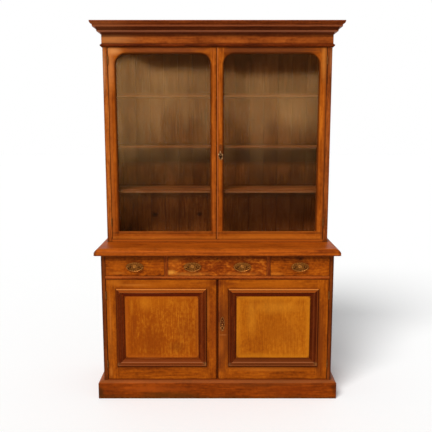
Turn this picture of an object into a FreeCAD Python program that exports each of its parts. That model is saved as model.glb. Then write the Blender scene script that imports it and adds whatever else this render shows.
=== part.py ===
import FreeCAD, Part
import math
import os

# A bookcase in two parts: a cupboard with three drawers, and a glazed upper case that stands on it.
# Millimetres. X runs across the front, Y from front to back, Z up.
# The origin is on the floor, under the middle of the outline.

# Cupboard, up to the underside of the waist top
base_width = 1402.0
base_depth = 522.0
base_height = 896.0
base_side_thickness = 26.0
base_corner_round = 8.0
floor_above_plinth = 5.0
base_floor_thickness = 20.0
cupboard_shelf_rise = 325.0
cupboard_shelf_thickness = 18.0
cupboard_shelf_setback = 64.0
bearer_width = 20.0
bearer_height = 30.0

# Plinth
plinth_thickness = 30.0
plinth_face_height = 97.0
plinth_round_run = 26.0
plinth_round_rise = 11.0
plinth_round_belly = 0.28
plinth_rail_thickness = 20.0
glue_block = 34.0
glue_block_inset = 230.0
floor_play = 2.0

# Drawer rail, dividers and runners
drawer_opening_height = 128.0
rail_thickness = 20.0
rail_depth = 70.0
rail_bead_radius = 5.0
rail_bead_sink = 2.0
divider_centre = 308.5
divider_thickness = 21.0
runner_reach = 20.0

# Drawers
drawer_gap = 1.0
drawer_foot_gap = 1.5
drawer_head_gap = 2.5
drawer_front_thickness = 20.0
drawer_side_thickness = 10.0
drawer_side_drop = 19.7
drawer_back_drop = 27.7
drawer_back_gap = 40.0
drawer_bottom_thickness = 6.0
drawer_bottom_rise = 11.0
drawer_seat = 0.3
drawer_lock_width = 50.0
drawer_lock_height = 34.0
drawer_lock_depth = 9.0
drawer_key_drop = 21.0

# Waist top
waist_overhang = 34.0
waist_under_run = 8.0
waist_under_rise = 3.0
waist_nose_height = 9.0
waist_round_run = 22.0
waist_round_rise = 27.0
waist_round_belly = 0.41
waist_step_run = 2.0
waist_step_rise = 3.0

# Upper case
upper_set_in = 6.0
upper_depth = 310.0
upper_height = 1214.0
upper_side_thickness = 30.0
upper_floor_thickness = 14.0
upper_roof_thickness = 18.0
shelf_heights = (294.0, 566.0, 890.0)
shelf_thickness = 18.0
shelf_setback = 44.0
shelf_play = 1.0
shelf_pin_radius = 3.5
shelf_pin_length = 26.0
shelf_pin_depth = 12.0
shelf_pin_inset = 45.0

# Back boards
back_board_thickness = 10.0
back_board_width = 94.0
back_board_first = 40.5
back_board_gap = 0.5
back_board_vee = 2.0
back_rebate_width = 10.0
back_recess = 2.0

# Frieze, astragal and cornice
frieze_proud = 4.0
frieze_height = 53.0
dust_board_drop = 12.0
frieze_board_thickness = 20.0
dust_board_thickness = 6.0
astragal_height = 19.0
astragal_projection = 13.0
astragal_fillet = 3.0
cornice_bed_run = 22.0
cornice_bed_rise = 17.0
cornice_step = 2.0
cornice_bed_fillet = 12.0
cornice_cove_run = 19.0
cornice_cove_rise = 12.0
cornice_cove_belly = 0.4
cornice_cyma_fillet = 5.0
cornice_cyma_belly = 0.4
cornice_cyma_run = 13.0
cornice_cyma_rise = 21.0
cornice_top_fillet = 8.0

# Doors
door_thickness = 24.0
door_gap = 1.5
upper_meeting_x = -5.5
upper_meeting_gap = 2.0
upper_hanging_stile = 46.5
upper_left_meeting_stile = 37.5
upper_right_meeting_stile = 43.5
upper_bottom_rail = 48.5
upper_top_rail = 37.5
sight_corner_radius = 62.0
sash_step_width = 12.0
sash_step_depth = 2.0
sash_round = 8.5
meeting_bead_width = 10.0
meeting_bead_rise = 4.0
glass_thickness = 3.0
glass_setback = 11.5
glass_cover = 6.0
glazing_rebate = 8.0
glazing_bead_shy = 1.0
glazing_bead_round = 5.0
glazing_bead_belly = 0.4

base_door_gap = 2.0
base_meeting_gap = 2.5
base_stile = 66.0
base_hanging_stile = 64.5
base_bottom_rail = 89.0
base_top_rail = 62.5
meeting_groove_width = 5.0
meeting_groove_depth = 9.0
meeting_round = 7.0
panel_setback = 10.0
panel_thickness = 10.0
panel_groove = 8.0
panel_fit = 0.1
moulding_lap = 6.0
moulding_bead = 10.0
moulding_bead_seat = 3.0
moulding_bead_top = 8.0
moulding_quirk = 2.0
moulding_shoulder = 4.5
moulding_ogee_run = 31.0
moulding_ogee_belly = 0.45
moulding_toe_run = 6.0
moulding_toe_step = 1.5
moulding_toe_thickness = 1.5

# Butt hinges, by the distance from their middles to the ends of the doors
upper_hinge_foot = 108.0
upper_hinge_head = 75.5
base_hinge_foot = 100.0
base_hinge_head = 96.0
hinge_length = 48.0
hinge_knuckles = 5
hinge_knuckle_radius = 4.0
hinge_pin_radius = 1.6
hinge_pin_clearance = 0.06
hinge_knuckle_gap = 0.3
hinge_leaf_width = 18.0
hinge_leaf_thickness = 2.0
hinge_front_gap = 0.3
let_in_fit = 0.1

# Door locks
lock_height = 60.0
lock_thickness = 9.0
lock_wall = 1.6
lock_bolt_height = 16.0
lock_bolt_thickness = 4.0
lock_bolt_length = 18.0
lock_bolt_travel = 8.0
lock_fit = 0.3
strike_play = 1.0
upper_lock_margin = 4.5
upper_lock_rise = 535.5
base_lock_width = 35.0
base_lock_rise = 330.0
keyhole_radius = 3.0
keyhole_slot_width = 2.6
keyhole_slot_length = 9.0
keyhole_from_edge = 6.5

# Slip bolts behind the left doors
slip_plate_width = 16.0
slip_plate_length = 64.0
slip_plate_thickness = 1.5
slip_plate_drop = 6.0
slip_lug_length = 8.0
slip_lug_depth = 8.0
slip_rod_radius = 3.0
slip_rod_clearance = 0.08
slip_rod_length = 58.0
slip_rod_drop = 2.0
slip_travel = 14.0
slip_knob_radius = 2.6
slip_knob_length = 9.0
slip_knob_gap = 1.0
slip_from_edge = 14.5

# Escutcheons
escutcheon_thickness = 1.5
upper_escutcheon_width = 26.0
upper_escutcheon_length = 98.0
upper_escutcheon_rise = 12.0
base_escutcheon_width = 30.0
base_escutcheon_length = 92.0
base_escutcheon_rise = 22.0
escutcheon_lobes = 14
escutcheon_lobe_depth = 1.0
upper_escutcheon_neck = 18.0

# Drawer pulls
pull_rise = 56.0
centre_pull_offset = 150.0
pull_plate_width = 108.0
pull_plate_height = 58.0
pull_plate_thickness = 1.5
pull_plate_lobes = 16
pull_lobe_depth = 2.5
post_spacing = 76.0
post_rise = 2.0
post_stem_radius = 3.0
post_eye_radius = 4.6
post_eye_length = 7.0
post_standoff = 9.0
bail_wire_radius = 2.2
bail_clearance = 0.06
bail_drop = 27.0
bail_corner_radius = 4.5
bail_side_gap = 1.2
bail_tip = 1.5

# Levels and planes that follow from the sizes above
outline_depth = base_depth + waist_overhang
back_y = outline_depth / 2
base_front = back_y - base_depth
upper_front = back_y - upper_depth
base_half = base_width / 2
base_inner = base_half - base_side_thickness
upper_half = base_half - upper_set_in
upper_inner = upper_half - upper_side_thickness
boards_front = back_y - back_recess - back_board_thickness
waist_thickness = waist_under_rise + waist_nose_height + waist_round_rise + waist_step_rise
waist_z = base_height + waist_thickness
upper_floor_z = waist_z + upper_floor_thickness
frieze_z = waist_z + upper_height
upper_roof_z = frieze_z - upper_roof_thickness
cornice_z = frieze_z + frieze_height
cornice_rise = cornice_bed_rise + cornice_bed_fillet + cornice_cove_rise
cornice_rise += cornice_cyma_fillet + cornice_cyma_rise + cornice_top_fillet
dust_board_z = cornice_z + cornice_rise - dust_board_drop
base_floor_top = plinth_face_height + plinth_round_rise + floor_above_plinth
cupboard_shelf_top = base_floor_top + cupboard_shelf_rise
rail_top = base_height - drawer_opening_height
rail_underside = rail_top - rail_thickness
pull_height = rail_top + pull_rise
upper_door_low = upper_floor_z + door_gap
upper_door_high = min(upper_roof_z, frieze_z - astragal_height) - door_gap
base_door_low = base_floor_top + base_door_gap
base_door_high = rail_underside - base_door_gap
upper_edge_x = upper_inner - door_gap
base_edge_x = base_inner - base_door_gap
upper_right_x = upper_meeting_x + upper_meeting_gap / 2
upper_left_x = upper_meeting_x - upper_meeting_gap / 2
base_meeting_half = base_meeting_gap / 2
upper_hinge_heights = (upper_door_low + upper_hinge_foot, upper_door_high - upper_hinge_head)
base_hinge_heights = (base_door_low + base_hinge_foot, base_door_high - base_hinge_head)
upper_lock_width = upper_right_meeting_stile - glazing_rebate - upper_lock_margin
upper_lock_height = upper_door_low + upper_lock_rise
base_lock_height = base_door_low + base_lock_rise
over = 1.0

nodes = {}


def V(x, y, z):
    return FreeCAD.Vector(x, y, z)


def box(x0, x1, y0, y1, z0, z1):
    return Part.makeBox(x1 - x0, y1 - y0, z1 - z0, V(x0, y0, z0))


def rod(radius, start, direction, length):
    return Part.makeCylinder(radius, length, start, direction)


def mirrored(shape):
    return shape.mirror(V(0, 0, 0), V(1, 0, 0))


def both_sides(shape):
    return [shape, mirrored(shape)]


def join(pieces):
    whole = pieces[0].multiFuse(pieces[1:])
    return whole.removeSplitter()


# A path is a start point followed by points, or by pairs of (point on an arc, end of the arc).
def face_of(path, place):
    start = place(*path[0])
    here = start
    edges = []
    for step in path[1:]:
        if isinstance(step[0], tuple):
            middle = place(*step[0])
            end = place(*step[1])
            edges.append(Part.Arc(here, middle, end).toShape())
        else:
            end = place(*step)
            edges.append(Part.makeLine(here, end))
        here = end
    edges.append(Part.makeLine(here, start))
    return Part.Face(Part.Wire(edges))


# The middle point of a round that runs between two corners and bulges towards a third.
def belly(start, end, corner, share):
    middle = [(a + b) / 2 for a, b in zip(start, end)]
    return tuple(m + (c - m) * share for m, c in zip(middle, corner))


def upright(points, z0, z1):
    face = face_of(points, lambda x, y: V(x, y, z0))
    return face.extrude(V(0, 0, z1 - z0))


def through_depth(points, y0, y1):
    face = face_of(points, lambda x, z: V(x, y0, z))
    return face.extrude(V(0, y1 - y0, 0))


# Three mitred lengths, along the front and back along both sides. Paths are (projection, height).
def returned_moulding(path, half_width, front, back, reach):
    z0 = -over
    z1 = cornice_z + cornice_rise + over
    wide = half_width + reach
    along = face_of(path, lambda p, z: V(-wide, front - p, z)).extrude(V(2 * wide, 0, 0))
    corner = front - reach
    front_plan = [(-wide, corner), (wide, corner), (half_width, front), (-half_width, front)]
    side_plan = [(half_width, front), (wide, corner), (wide, back), (half_width, back)]
    length = along.common(upright(front_plan, z0, z1))
    run = face_of(path, lambda p, z: V(half_width + p, corner, z)).extrude(V(0, back - corner, 0))
    side = run.common(upright(side_plan, z0, z1))
    return [length] + both_sides(side)


# Four mitred strips round a rectangle. Paths are (distance inwards, rise towards the front).
def mitred_frame(path, x0, x1, z0, z1, face_y, width):
    low = face_of(path, lambda u, h: V(x0, face_y - h, z0 + u)).extrude(V(x1 - x0, 0, 0))
    high = face_of(path, lambda u, h: V(x0, face_y - h, z1 - u)).extrude(V(x1 - x0, 0, 0))
    left = face_of(path, lambda u, h: V(x0 + u, face_y - h, z0)).extrude(V(0, 0, z1 - z0))
    right = face_of(path, lambda u, h: V(x1 - u, face_y - h, z0)).extrude(V(0, 0, z1 - z0))
    outer = [(x0, z0), (x1, z0), (x1, z1), (x0, z1)]
    inner = [(x0 + width, z0 + width), (x1 - width, z0 + width)]
    inner += [(x1 - width, z1 - width), (x0 + width, z1 - width)]
    strips = []
    for number, strip in enumerate((low, right, high, left)):
        after = (number + 1) % 4
        mitre = [outer[number], outer[after], inner[after], inner[number]]
        strips.append(strip.common(through_depth(mitre, back_y - outline_depth, back_y)))
    return strips


# A plate whose outline is a ring of shallow lobes on an ellipse, lying on the plane y = face_y.
def lobed_plate(x, z, width, height, lobes, depth, face_y, thickness):
    def at(step, inset):
        angle = 2 * math.pi * step / lobes
        across = (width / 2 - inset) * math.cos(angle)
        up = (height / 2 - inset) * math.sin(angle)
        return (x + across, z + up)

    path = [at(0, depth)]
    for step in range(lobes):
        path.append((at(step + 0.5, 0), at(step + 1, depth)))
    edges = []
    here = path[0]
    for middle, end in path[1:]:
        points = [V(px, face_y, pz) for px, pz in (here, middle, end)]
        edges.append(Part.Arc(*points).toShape())
        here = end
    return Part.Face(Part.Wire(edges)).extrude(V(0, -thickness, 0))


def keyhole(x, z, y0, y1):
    eye = rod(keyhole_radius, V(x, y0, z), V(0, 1, 0), y1 - y0)
    half = keyhole_slot_width / 2
    slot = box(x - half, x + half, y0, y1, z - keyhole_slot_length, z)
    return eye.fuse(slot)


def save(name, solids):
    nodes[name] = solids
    shape = solids[0] if len(solids) == 1 else Part.makeCompound(solids)
    shape.exportStep("parts/" + name + ".step")
    print(name, len(solids), "solid" if len(solids) == 1 else "solids")


# ---- Hinges ----

# The pin of a right-hand door stands in front of the joint between the door and the side board.
def hinge_axis(inner_x, gap, front):
    return inner_x - gap / 2, front - hinge_knuckle_radius - hinge_front_gap


def leaf_plate(x0, x1, axis_y, front, z0, z1):
    return box(x0, x1, front, axis_y + hinge_knuckle_radius + hinge_leaf_width, z0, z1)


# One half of a butt hinge: a leaf, every second knuckle and the tabs that join them.
def hinge_half(axis_x, axis_y, front, middle, outer_half):
    z0 = middle - hinge_length / 2
    pitch = hinge_length / hinge_knuckles
    spread = hinge_knuckle_gap / 2
    x0 = axis_x + spread if outer_half else axis_x - spread - hinge_leaf_thickness
    x1 = x0 + hinge_leaf_thickness
    pieces = [leaf_plate(x0, x1, axis_y, front, z0, z0 + hinge_length)]
    first = 0 if outer_half else 1
    for number in range(first, hinge_knuckles, 2):
        low = z0 + number * pitch + spread
        high = z0 + (number + 1) * pitch - spread
        pieces.append(rod(hinge_knuckle_radius, V(axis_x, axis_y, low), V(0, 0, 1), high - low))
        pieces.append(box(x0, x1, axis_y, front + spread, low, high))
    if outer_half:
        pieces.append(rod(hinge_pin_radius, V(axis_x, axis_y, z0), V(0, 0, 1), hinge_length))
        return join(pieces)
    bore = rod(hinge_pin_radius + hinge_pin_clearance, V(axis_x, axis_y, z0), V(0, 0, 1), hinge_length)
    return join(pieces).cut(bore)


# The recess that a leaf is let into, in the side board or in the edge of the door.
def hinge_recess(axis_x, axis_y, front, middle, outer_half):
    half = hinge_length / 2 + let_in_fit
    depth = hinge_knuckle_gap / 2 + hinge_leaf_thickness + let_in_fit
    x0 = axis_x if outer_half else axis_x - depth
    back = axis_y + hinge_knuckle_radius + hinge_leaf_width + let_in_fit
    return box(x0, x0 + depth, front - over, back, middle - half, middle + half)


def right_hinges(inner_x, gap, front, heights, outer_half):
    axis_x, axis_y = hinge_axis(inner_x, gap, front)
    return [hinge_half(axis_x, axis_y, front, z, outer_half) for z in heights]


def right_recesses(inner_x, gap, front, heights, outer_half):
    axis_x, axis_y = hinge_axis(inner_x, gap, front)
    return [hinge_recess(axis_x, axis_y, front, z, outer_half) for z in heights]


# ---- Cupboard carcass ----

def base_side():
    side = box(base_inner, base_half, base_front, back_y, 0, base_height)
    corner = [e for e in side.Edges if is_upright_at(e, base_half, base_front)]
    side = side.makeFillet(base_corner_round, corner)
    side = side.cut(box(base_inner - over, base_inner + back_rebate_width, boards_front, back_y + over,
                        -over, base_height + over))
    for recess in right_recesses(base_inner, base_door_gap, base_front, base_hinge_heights, True):
        side = side.cut(recess)
    return side


def is_upright_at(edge, x, y):
    ends = [v.Point for v in edge.Vertexes]
    return all(abs(p.x - x) < 1e-6 and abs(p.y - y) < 1e-6 for p in ends)


def base_floor():
    low = base_floor_top - base_floor_thickness
    return box(-base_inner, base_inner, base_front, boards_front, low, base_floor_top)


def plinth_path():
    top = plinth_face_height + plinth_round_rise
    face_top = (plinth_thickness, plinth_face_height)
    round_end = (plinth_thickness - plinth_round_run, top)
    middle = belly(face_top, round_end, (plinth_thickness, top), plinth_round_belly)
    return [(0, 0), (plinth_thickness, 0), face_top, (middle, round_end), (0, top)]


def plinth_backing():
    floor_low = base_floor_top - base_floor_thickness
    rail = box(-base_inner, base_inner, boards_front - plinth_rail_thickness, boards_front, 0, floor_low)
    pieces = [rail]
    for x in (base_inner, glue_block_inset + glue_block):
        block = box(x - glue_block, x, base_front, base_front + glue_block, floor_play, floor_low)
        pieces += both_sides(block)
    return pieces


# Upright boards side by side, with a small vee along each joint on the front.
def back_boards(inner_x, z0, z1):
    reach = inner_x + back_rebate_width - back_board_gap
    joints = [-reach]
    following = back_board_first - reach
    while following < reach - back_board_first:
        joints.append(following)
        following += back_board_width
    joints.append(reach)
    return [back_board(a, b, z0, z1) for a, b in zip(joints, joints[1:])]


def back_board(left, right, z0, z1):
    x0 = left + back_board_gap / 2
    x1 = right - back_board_gap / 2
    board = box(x0, x1, boards_front, boards_front + back_board_thickness, z0, z1)
    rims = [e for e in board.Edges
            if is_upright_at(e, x0, boards_front) or is_upright_at(e, x1, boards_front)]
    return board.makeChamfer(back_board_vee, rims)


def cupboard_shelf():
    low = cupboard_shelf_top - cupboard_shelf_thickness
    front = base_front + cupboard_shelf_setback
    reach = base_inner - shelf_play / 2
    return box(-reach, reach, front, boards_front - shelf_play, low, cupboard_shelf_top)


def cupboard_bearers():
    top = cupboard_shelf_top - cupboard_shelf_thickness
    front = base_front + cupboard_shelf_setback
    bearer = box(base_inner - bearer_width, base_inner, front, boards_front, top - bearer_height, top)
    return both_sides(bearer)


def drawer_rail():
    rail = box(-base_inner, base_inner, base_front, base_front + rail_depth, rail_underside, rail_top)
    middle = (rail_underside + rail_top) / 2
    bead_y = base_front + rail_bead_sink
    bead = rod(rail_bead_radius, V(-base_inner, bead_y, middle), V(1, 0, 0), 2 * base_inner)
    rail = join([rail, bead])
    x = slip_x(-base_meeting_half)
    hole_length = slip_travel + base_door_gap
    y = slip_rod_y(base_front)
    return rail.cut(rod(slip_rod_radius + lock_fit, V(x, y, rail_underside - over), V(0, 0, 1),
                        hole_length + over))


def drawer_dividers():
    half = divider_thickness / 2
    divider = box(divider_centre - half, divider_centre + half, base_front, boards_front,
                  rail_top, base_height)
    return both_sides(divider)


def drawer_runners():
    front = base_front + rail_depth
    half = divider_thickness / 2 + runner_reach
    outer = box(base_inner - runner_reach - drawer_side_thickness, base_inner, front, boards_front,
                rail_underside, rail_top)
    inner = box(divider_centre - half, divider_centre + half, front, boards_front,
                rail_underside, rail_top)
    return both_sides(outer) + both_sides(inner)


# ---- Waist top ----

def waist_path(inner):
    nose_low = base_height + waist_under_rise
    nose_high = nose_low + waist_nose_height
    round_end = (waist_overhang - waist_round_run, nose_high + waist_round_rise)
    nose = (waist_overhang, nose_high)
    middle = belly(nose, round_end, (waist_overhang, round_end[1]), waist_round_belly)
    return [
        (-inner, base_height),
        (waist_overhang - waist_under_run, base_height),
        (waist_overhang, nose_low),
        nose,
        (middle, round_end),
        (round_end[0] - waist_step_run, round_end[1]),
        (round_end[0] - waist_step_run, waist_z),
        (-inner, waist_z),
    ]


def waist_top():
    wide = base_half + waist_overhang
    depth_path = waist_path(base_depth)
    width_path = waist_path(base_half + wide)
    along = face_of(depth_path, lambda p, z: V(-wide, base_front - p, z)).extrude(V(2 * wide, 0, 0))
    front = base_front - waist_overhang
    across = face_of(width_path, lambda p, z: V(base_half + p, front, z)).extrude(V(0, back_y - front, 0))
    return along.common(across).common(mirrored(across))


# ---- Upper case ----

def shelf_underside(height):
    return upper_floor_z + height


def shelf_front():
    return upper_front + shelf_setback


def pin_places():
    ys = (shelf_front() + shelf_pin_inset, boards_front - shelf_play - shelf_pin_inset)
    return [(y, shelf_underside(h) - shelf_pin_radius - let_in_fit) for h in shelf_heights for y in ys]


def upper_side():
    side = box(upper_inner, upper_half, upper_front, back_y, waist_z, frieze_z)
    side = side.cut(box(upper_inner - over, upper_inner + back_rebate_width, boards_front, back_y + over,
                        waist_z - over, frieze_z + over))
    for recess in right_recesses(upper_inner, door_gap, upper_front, upper_hinge_heights, True):
        side = side.cut(recess)
    for y, z in pin_places():
        hole_radius = shelf_pin_radius + let_in_fit
        side = side.cut(rod(hole_radius, V(upper_inner - over, y, z), V(1, 0, 0), shelf_pin_depth + over))
    return side


def upper_floor():
    return box(-upper_inner, upper_inner, upper_front, boards_front, waist_z, upper_floor_z)


def upper_roof():
    roof = box(-upper_inner, upper_inner, upper_front, boards_front, upper_roof_z, frieze_z)
    x = slip_x(upper_left_x)
    hole_length = slip_travel
    y = slip_rod_y(upper_front)
    return roof.cut(rod(slip_rod_radius + lock_fit, V(x, y, upper_roof_z - over), V(0, 0, 1),
                        hole_length + over))


def book_shelves():
    reach = upper_inner - shelf_play / 2
    back = boards_front - shelf_play
    shelves = []
    for height in shelf_heights:
        z = shelf_underside(height)
        shelves.append(box(-reach, reach, shelf_front(), back, z, z + shelf_thickness))
    return shelves


def shelf_pins():
    pins = []
    for y, z in pin_places():
        start = V(upper_inner + shelf_pin_depth - let_in_fit, y, z)
        pins += both_sides(rod(shelf_pin_radius, start, V(-1, 0, 0), shelf_pin_length))
    return pins


# ---- Frieze, astragal and cornice ----

def frieze_boards():
    half = upper_half + frieze_proud
    front = upper_front - frieze_proud
    inner = half - frieze_board_thickness
    inside = front + frieze_board_thickness
    top = dust_board_z
    face = box(-half, half, front, inside, frieze_z, top)
    side = box(inner, half, inside, back_y, frieze_z, top)
    back = box(-inner, inner, back_y - frieze_board_thickness, back_y, frieze_z, top)
    return [face] + both_sides(side) + [back]


def dust_board():
    half = upper_half + frieze_proud - let_in_fit
    front = upper_front - frieze_proud + let_in_fit
    return box(-half, half, front, back_y, dust_board_z, dust_board_z + dust_board_thickness)


def astragal_path():
    low = frieze_z - astragal_height
    step = astragal_projection - (astragal_height - 2 * astragal_fillet) / 2
    round_low = (step, low + astragal_fillet)
    round_high = (step, frieze_z - astragal_fillet)
    middle = (astragal_projection, (round_low[1] + round_high[1]) / 2)
    return [(0, low), (step, low), round_low, (middle, round_high), (step, frieze_z), (0, frieze_z)]


def cornice_path():
    bed = (cornice_bed_run, cornice_z + cornice_bed_rise)
    bed_out = (bed[0] + cornice_step, bed[1])
    bed_top = (bed_out[0], bed[1] + cornice_bed_fillet)
    cove = (bed_top[0] + cornice_cove_run, bed_top[1] + cornice_cove_rise)
    cyma_low = (cove[0] + cornice_step, cove[1])
    cyma_foot = (cyma_low[0], cyma_low[1] + cornice_cyma_fillet)
    cyma_head = (cyma_foot[0] + cornice_cyma_run, cyma_foot[1] + cornice_cyma_rise)
    waist = belly(cyma_foot, cyma_head, cyma_head, 0)
    hollow = belly(cyma_foot, waist, (cyma_foot[0], waist[1]), cornice_cyma_belly)
    swell = belly(waist, cyma_head, (cyma_head[0], waist[1]), cornice_cyma_belly)
    top_out = (cyma_head[0] + cornice_step, cyma_head[1])
    top = (top_out[0], top_out[1] + cornice_top_fillet)
    return [
        (0, cornice_z),
        (belly((0, cornice_z), bed, (0, bed[1]), cornice_cove_belly), bed),
        bed_out,
        bed_top,
        (belly(bed_top, cove, (bed_top[0], cove[1]), cornice_cove_belly), cove),
        cyma_low,
        cyma_foot,
        (hollow, waist),
        (swell, cyma_head),
        top_out,
        top,
        (0, top[1]),
    ]


def case_moulding(path, proud, reach):
    return returned_moulding(path, upper_half + proud, upper_front - proud, back_y, reach)


# ---- Doors ----

def sight_path(x0, x1, z0, z1, radius):
    lift = radius * math.sqrt(0.5)
    high = z1 - radius
    return [
        (x0, z0),
        (x1, z0),
        (x1, high),
        ((x1 - radius + lift, high + lift), (x1 - radius, z1)),
        (x0 + radius, z1),
        ((x0 + radius - lift, high + lift), (x0, high)),
    ]


# A frame with round upper corners, a stepped and rounded front edge, and a rebate for the glass.
def glazed_frame(x0, x1, left_stile, right_stile):
    z0 = upper_door_low
    z1 = upper_door_high
    front = upper_front
    back = front + door_thickness
    sight = (x0 + left_stile, x1 - right_stile, z0 + upper_bottom_rail, z1 - upper_top_rail)
    frame = box(x0, x1, front, back, z0, z1)
    opening = sight_path(*sight, sight_corner_radius)
    frame = frame.cut(through_depth(opening, front - over, back + over))
    grown = (sight[0] - sash_step_width, sight[1] + sash_step_width,
             sight[2] - sash_step_width, sight[3] + sash_step_width)
    step = sight_path(*grown, sight_corner_radius + sash_step_width)
    step_y = front + sash_step_depth
    frame = frame.cut(through_depth(step, front - over, step_y))
    rim = [e for e in frame.Edges if on_sight_rim(e, step_y, sight)]
    round_limit = min(sash_step_width, glass_setback - sash_step_depth) - over
    frame = frame.makeFillet(min(sash_round, round_limit), rim)
    rebate = box(sight[0] - glazing_rebate, sight[1] + glazing_rebate, front + glass_setback, back + over,
                 sight[2] - glazing_rebate, sight[3] + glazing_rebate)
    return frame.cut(rebate), sight


def on_sight_rim(edge, y, sight):
    reach = edge.BoundBox
    slack = 1e-3
    flat = abs(reach.YMin - y) < slack and abs(reach.YMax - y) < slack
    inside_x = reach.XMin > sight[0] - slack and reach.XMax < sight[1] + slack
    inside_z = reach.ZMin > sight[2] - slack and reach.ZMax < sight[3] + slack
    return flat and inside_x and inside_z


# Full-height stiles with the rails between them.
def split_frame(frame, left_x, right_x):
    b = frame.BoundBox
    cuts = ((b.XMin, left_x), (right_x, b.XMax))
    stiles = [frame.common(box(a, c, b.YMin, b.YMax, b.ZMin, b.ZMax)) for a, c in cuts]
    middle = (b.ZMin + b.ZMax) / 2
    halves = ((b.ZMin, middle), (middle, b.ZMax))
    rails = [frame.common(box(left_x, right_x, b.YMin, b.YMax, a, c)) for a, c in halves]
    return stiles + rails


def glass_pane(sight):
    y = upper_front + glass_setback
    return box(sight[0] - glass_cover, sight[1] + glass_cover, y, y + glass_thickness,
               sight[2] - glass_cover, sight[3] + glass_cover)


def glazing_beads(sight):
    y = upper_front + glass_setback + glass_thickness
    depth = upper_front + door_thickness - glazing_bead_shy - y
    round_start = (glazing_rebate, glazing_bead_round - depth)
    round_end = (glazing_rebate - glazing_bead_round, -depth)
    middle = belly(round_start, round_end, (glazing_rebate, -depth), glazing_bead_belly)
    path = [(0, 0), (glazing_rebate, 0), round_start, (middle, round_end), (0, -depth)]
    return mitred_frame(path, sight[0] - glazing_rebate, sight[1] + glazing_rebate,
                        sight[2] - glazing_rebate, sight[3] + glazing_rebate, y, glazing_rebate)


# Half-round bead planted on the meeting edge of the right-hand door.
def meeting_bead():
    x0 = upper_right_x
    x1 = x0 + meeting_bead_width
    top = ((x0 + x1) / 2, upper_front - meeting_bead_rise)
    path = [(x0, upper_front), (top, (x1, upper_front))]
    return upright(path, upper_door_low, upper_door_high)


def panelled_frame(x0, x1, left_stile, right_stile):
    z0 = base_door_low
    z1 = base_door_high
    inner = (x0 + left_stile, x1 - right_stile, z0 + base_bottom_rail, z1 - base_top_rail)
    back = base_front + door_thickness
    frame = box(x0, x1, base_front, back, z0, z1)
    frame = frame.cut(box(inner[0], inner[1], base_front - over, back + over, inner[2], inner[3]))
    groove_front = base_front + panel_setback - panel_fit
    groove_back = base_front + panel_setback + panel_thickness + panel_fit
    groove = box(inner[0] - panel_groove, inner[1] + panel_groove, groove_front, groove_back,
                 inner[2] - panel_groove, inner[3] + panel_groove)
    return frame.cut(groove), inner


# Along the meeting edge the front is cut back, and the corner that is left is rounded.
def cut_meeting_edge(frame, side):
    edge = side * base_meeting_half
    inside = edge + side * meeting_groove_width
    y1 = base_front + meeting_groove_depth
    low = min(edge, inside) - (over if side > 0 else 0)
    high = max(edge, inside) + (over if side < 0 else 0)
    frame = frame.cut(box(low, high, base_front - over, y1, base_door_low - over, base_door_high + over))
    corner = [e for e in frame.Edges if is_upright_at(e, inside, base_front)]
    return frame.makeFillet(min(meeting_round, meeting_groove_depth - over), corner)


def door_panel(inner):
    reach = panel_groove - panel_fit
    y = base_front + panel_setback
    return box(inner[0] - reach, inner[1] + reach, y, y + panel_thickness,
               inner[2] - reach, inner[3] + reach)


def moulding_path():
    quirk_end = moulding_bead + moulding_quirk
    ogee_end = quirk_end + moulding_ogee_run
    width = ogee_end + moulding_toe_run
    toe = moulding_toe_thickness - panel_setback
    start = (quirk_end, moulding_shoulder)
    end = (ogee_end, toe + moulding_toe_step)
    waist = belly(start, end, end, 0)
    swell = belly(start, waist, (waist[0], start[1]), moulding_ogee_belly)
    hollow = belly(waist, end, (waist[0], end[1]), moulding_ogee_belly)
    return [
        (0, 0),
        (0, moulding_bead_seat),
        ((moulding_bead / 2, moulding_bead_top), (moulding_bead, moulding_bead_seat)),
        (quirk_end, moulding_bead_seat),
        start,
        (swell, waist),
        (hollow, end),
        (ogee_end, toe),
        (width, toe),
        (width, -panel_setback),
        (moulding_lap, -panel_setback),
        (moulding_lap, 0),
    ], width


def panel_moulding(inner):
    path, width = moulding_path()
    lap = moulding_lap
    return mitred_frame(path, inner[0] - lap, inner[1] + lap, inner[2] - lap, inner[3] + lap,
                        base_front, width)


# ---- Locks and bolts ----

def lock_planes(front):
    back = front + door_thickness
    return back - lock_thickness, back


def bolt_planes(front):
    face, back = lock_planes(front)
    middle = (face + back) / 2
    return middle - lock_bolt_thickness / 2, middle + lock_bolt_thickness / 2


def key_x(edge_x, width):
    return edge_x + width - keyhole_from_edge


def lock_case(edge_x, width, z, front):
    y0, y1 = lock_planes(front)
    half = lock_height / 2
    case = box(edge_x, edge_x + width, y0, y1, z - half, z + half)
    b0, b1 = bolt_planes(front)
    bolt_half = lock_bolt_height / 2 + lock_fit
    chamber = box(edge_x - over, edge_x + width - lock_wall, b0 - lock_fit, b1 + lock_fit,
                  z - bolt_half, z + bolt_half)
    hole = keyhole(key_x(edge_x, width), z, y0 - over, b1)
    return case.cut(chamber).cut(hole)


def lock_bolt(edge_x, z, front):
    b0, b1 = bolt_planes(front)
    half = lock_bolt_height / 2
    return box(edge_x + lock_fit, edge_x + lock_fit + lock_bolt_length, b0, b1, z - half, z + half)


def cut_lock(frame, edge_x, width, z, front):
    y0, y1 = lock_planes(front)
    half = lock_height / 2 + let_in_fit
    pocket = box(edge_x - over, edge_x + width + let_in_fit, y0 - let_in_fit, y1 + over, z - half, z + half)
    hole = keyhole(key_x(edge_x, width), z, front - over, y0)
    return frame.cut(pocket).cut(hole)


# The mortise in the left-hand door that takes the end of the bolt.
def cut_strike(frame, edge_x, gap, z, front):
    b0, b1 = bolt_planes(front)
    half = lock_bolt_height / 2 + lock_fit
    depth = lock_bolt_travel - gap + strike_play
    return frame.cut(box(edge_x - depth, edge_x + over, b0 - lock_fit, b1 + lock_fit, z - half, z + half))


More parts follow.
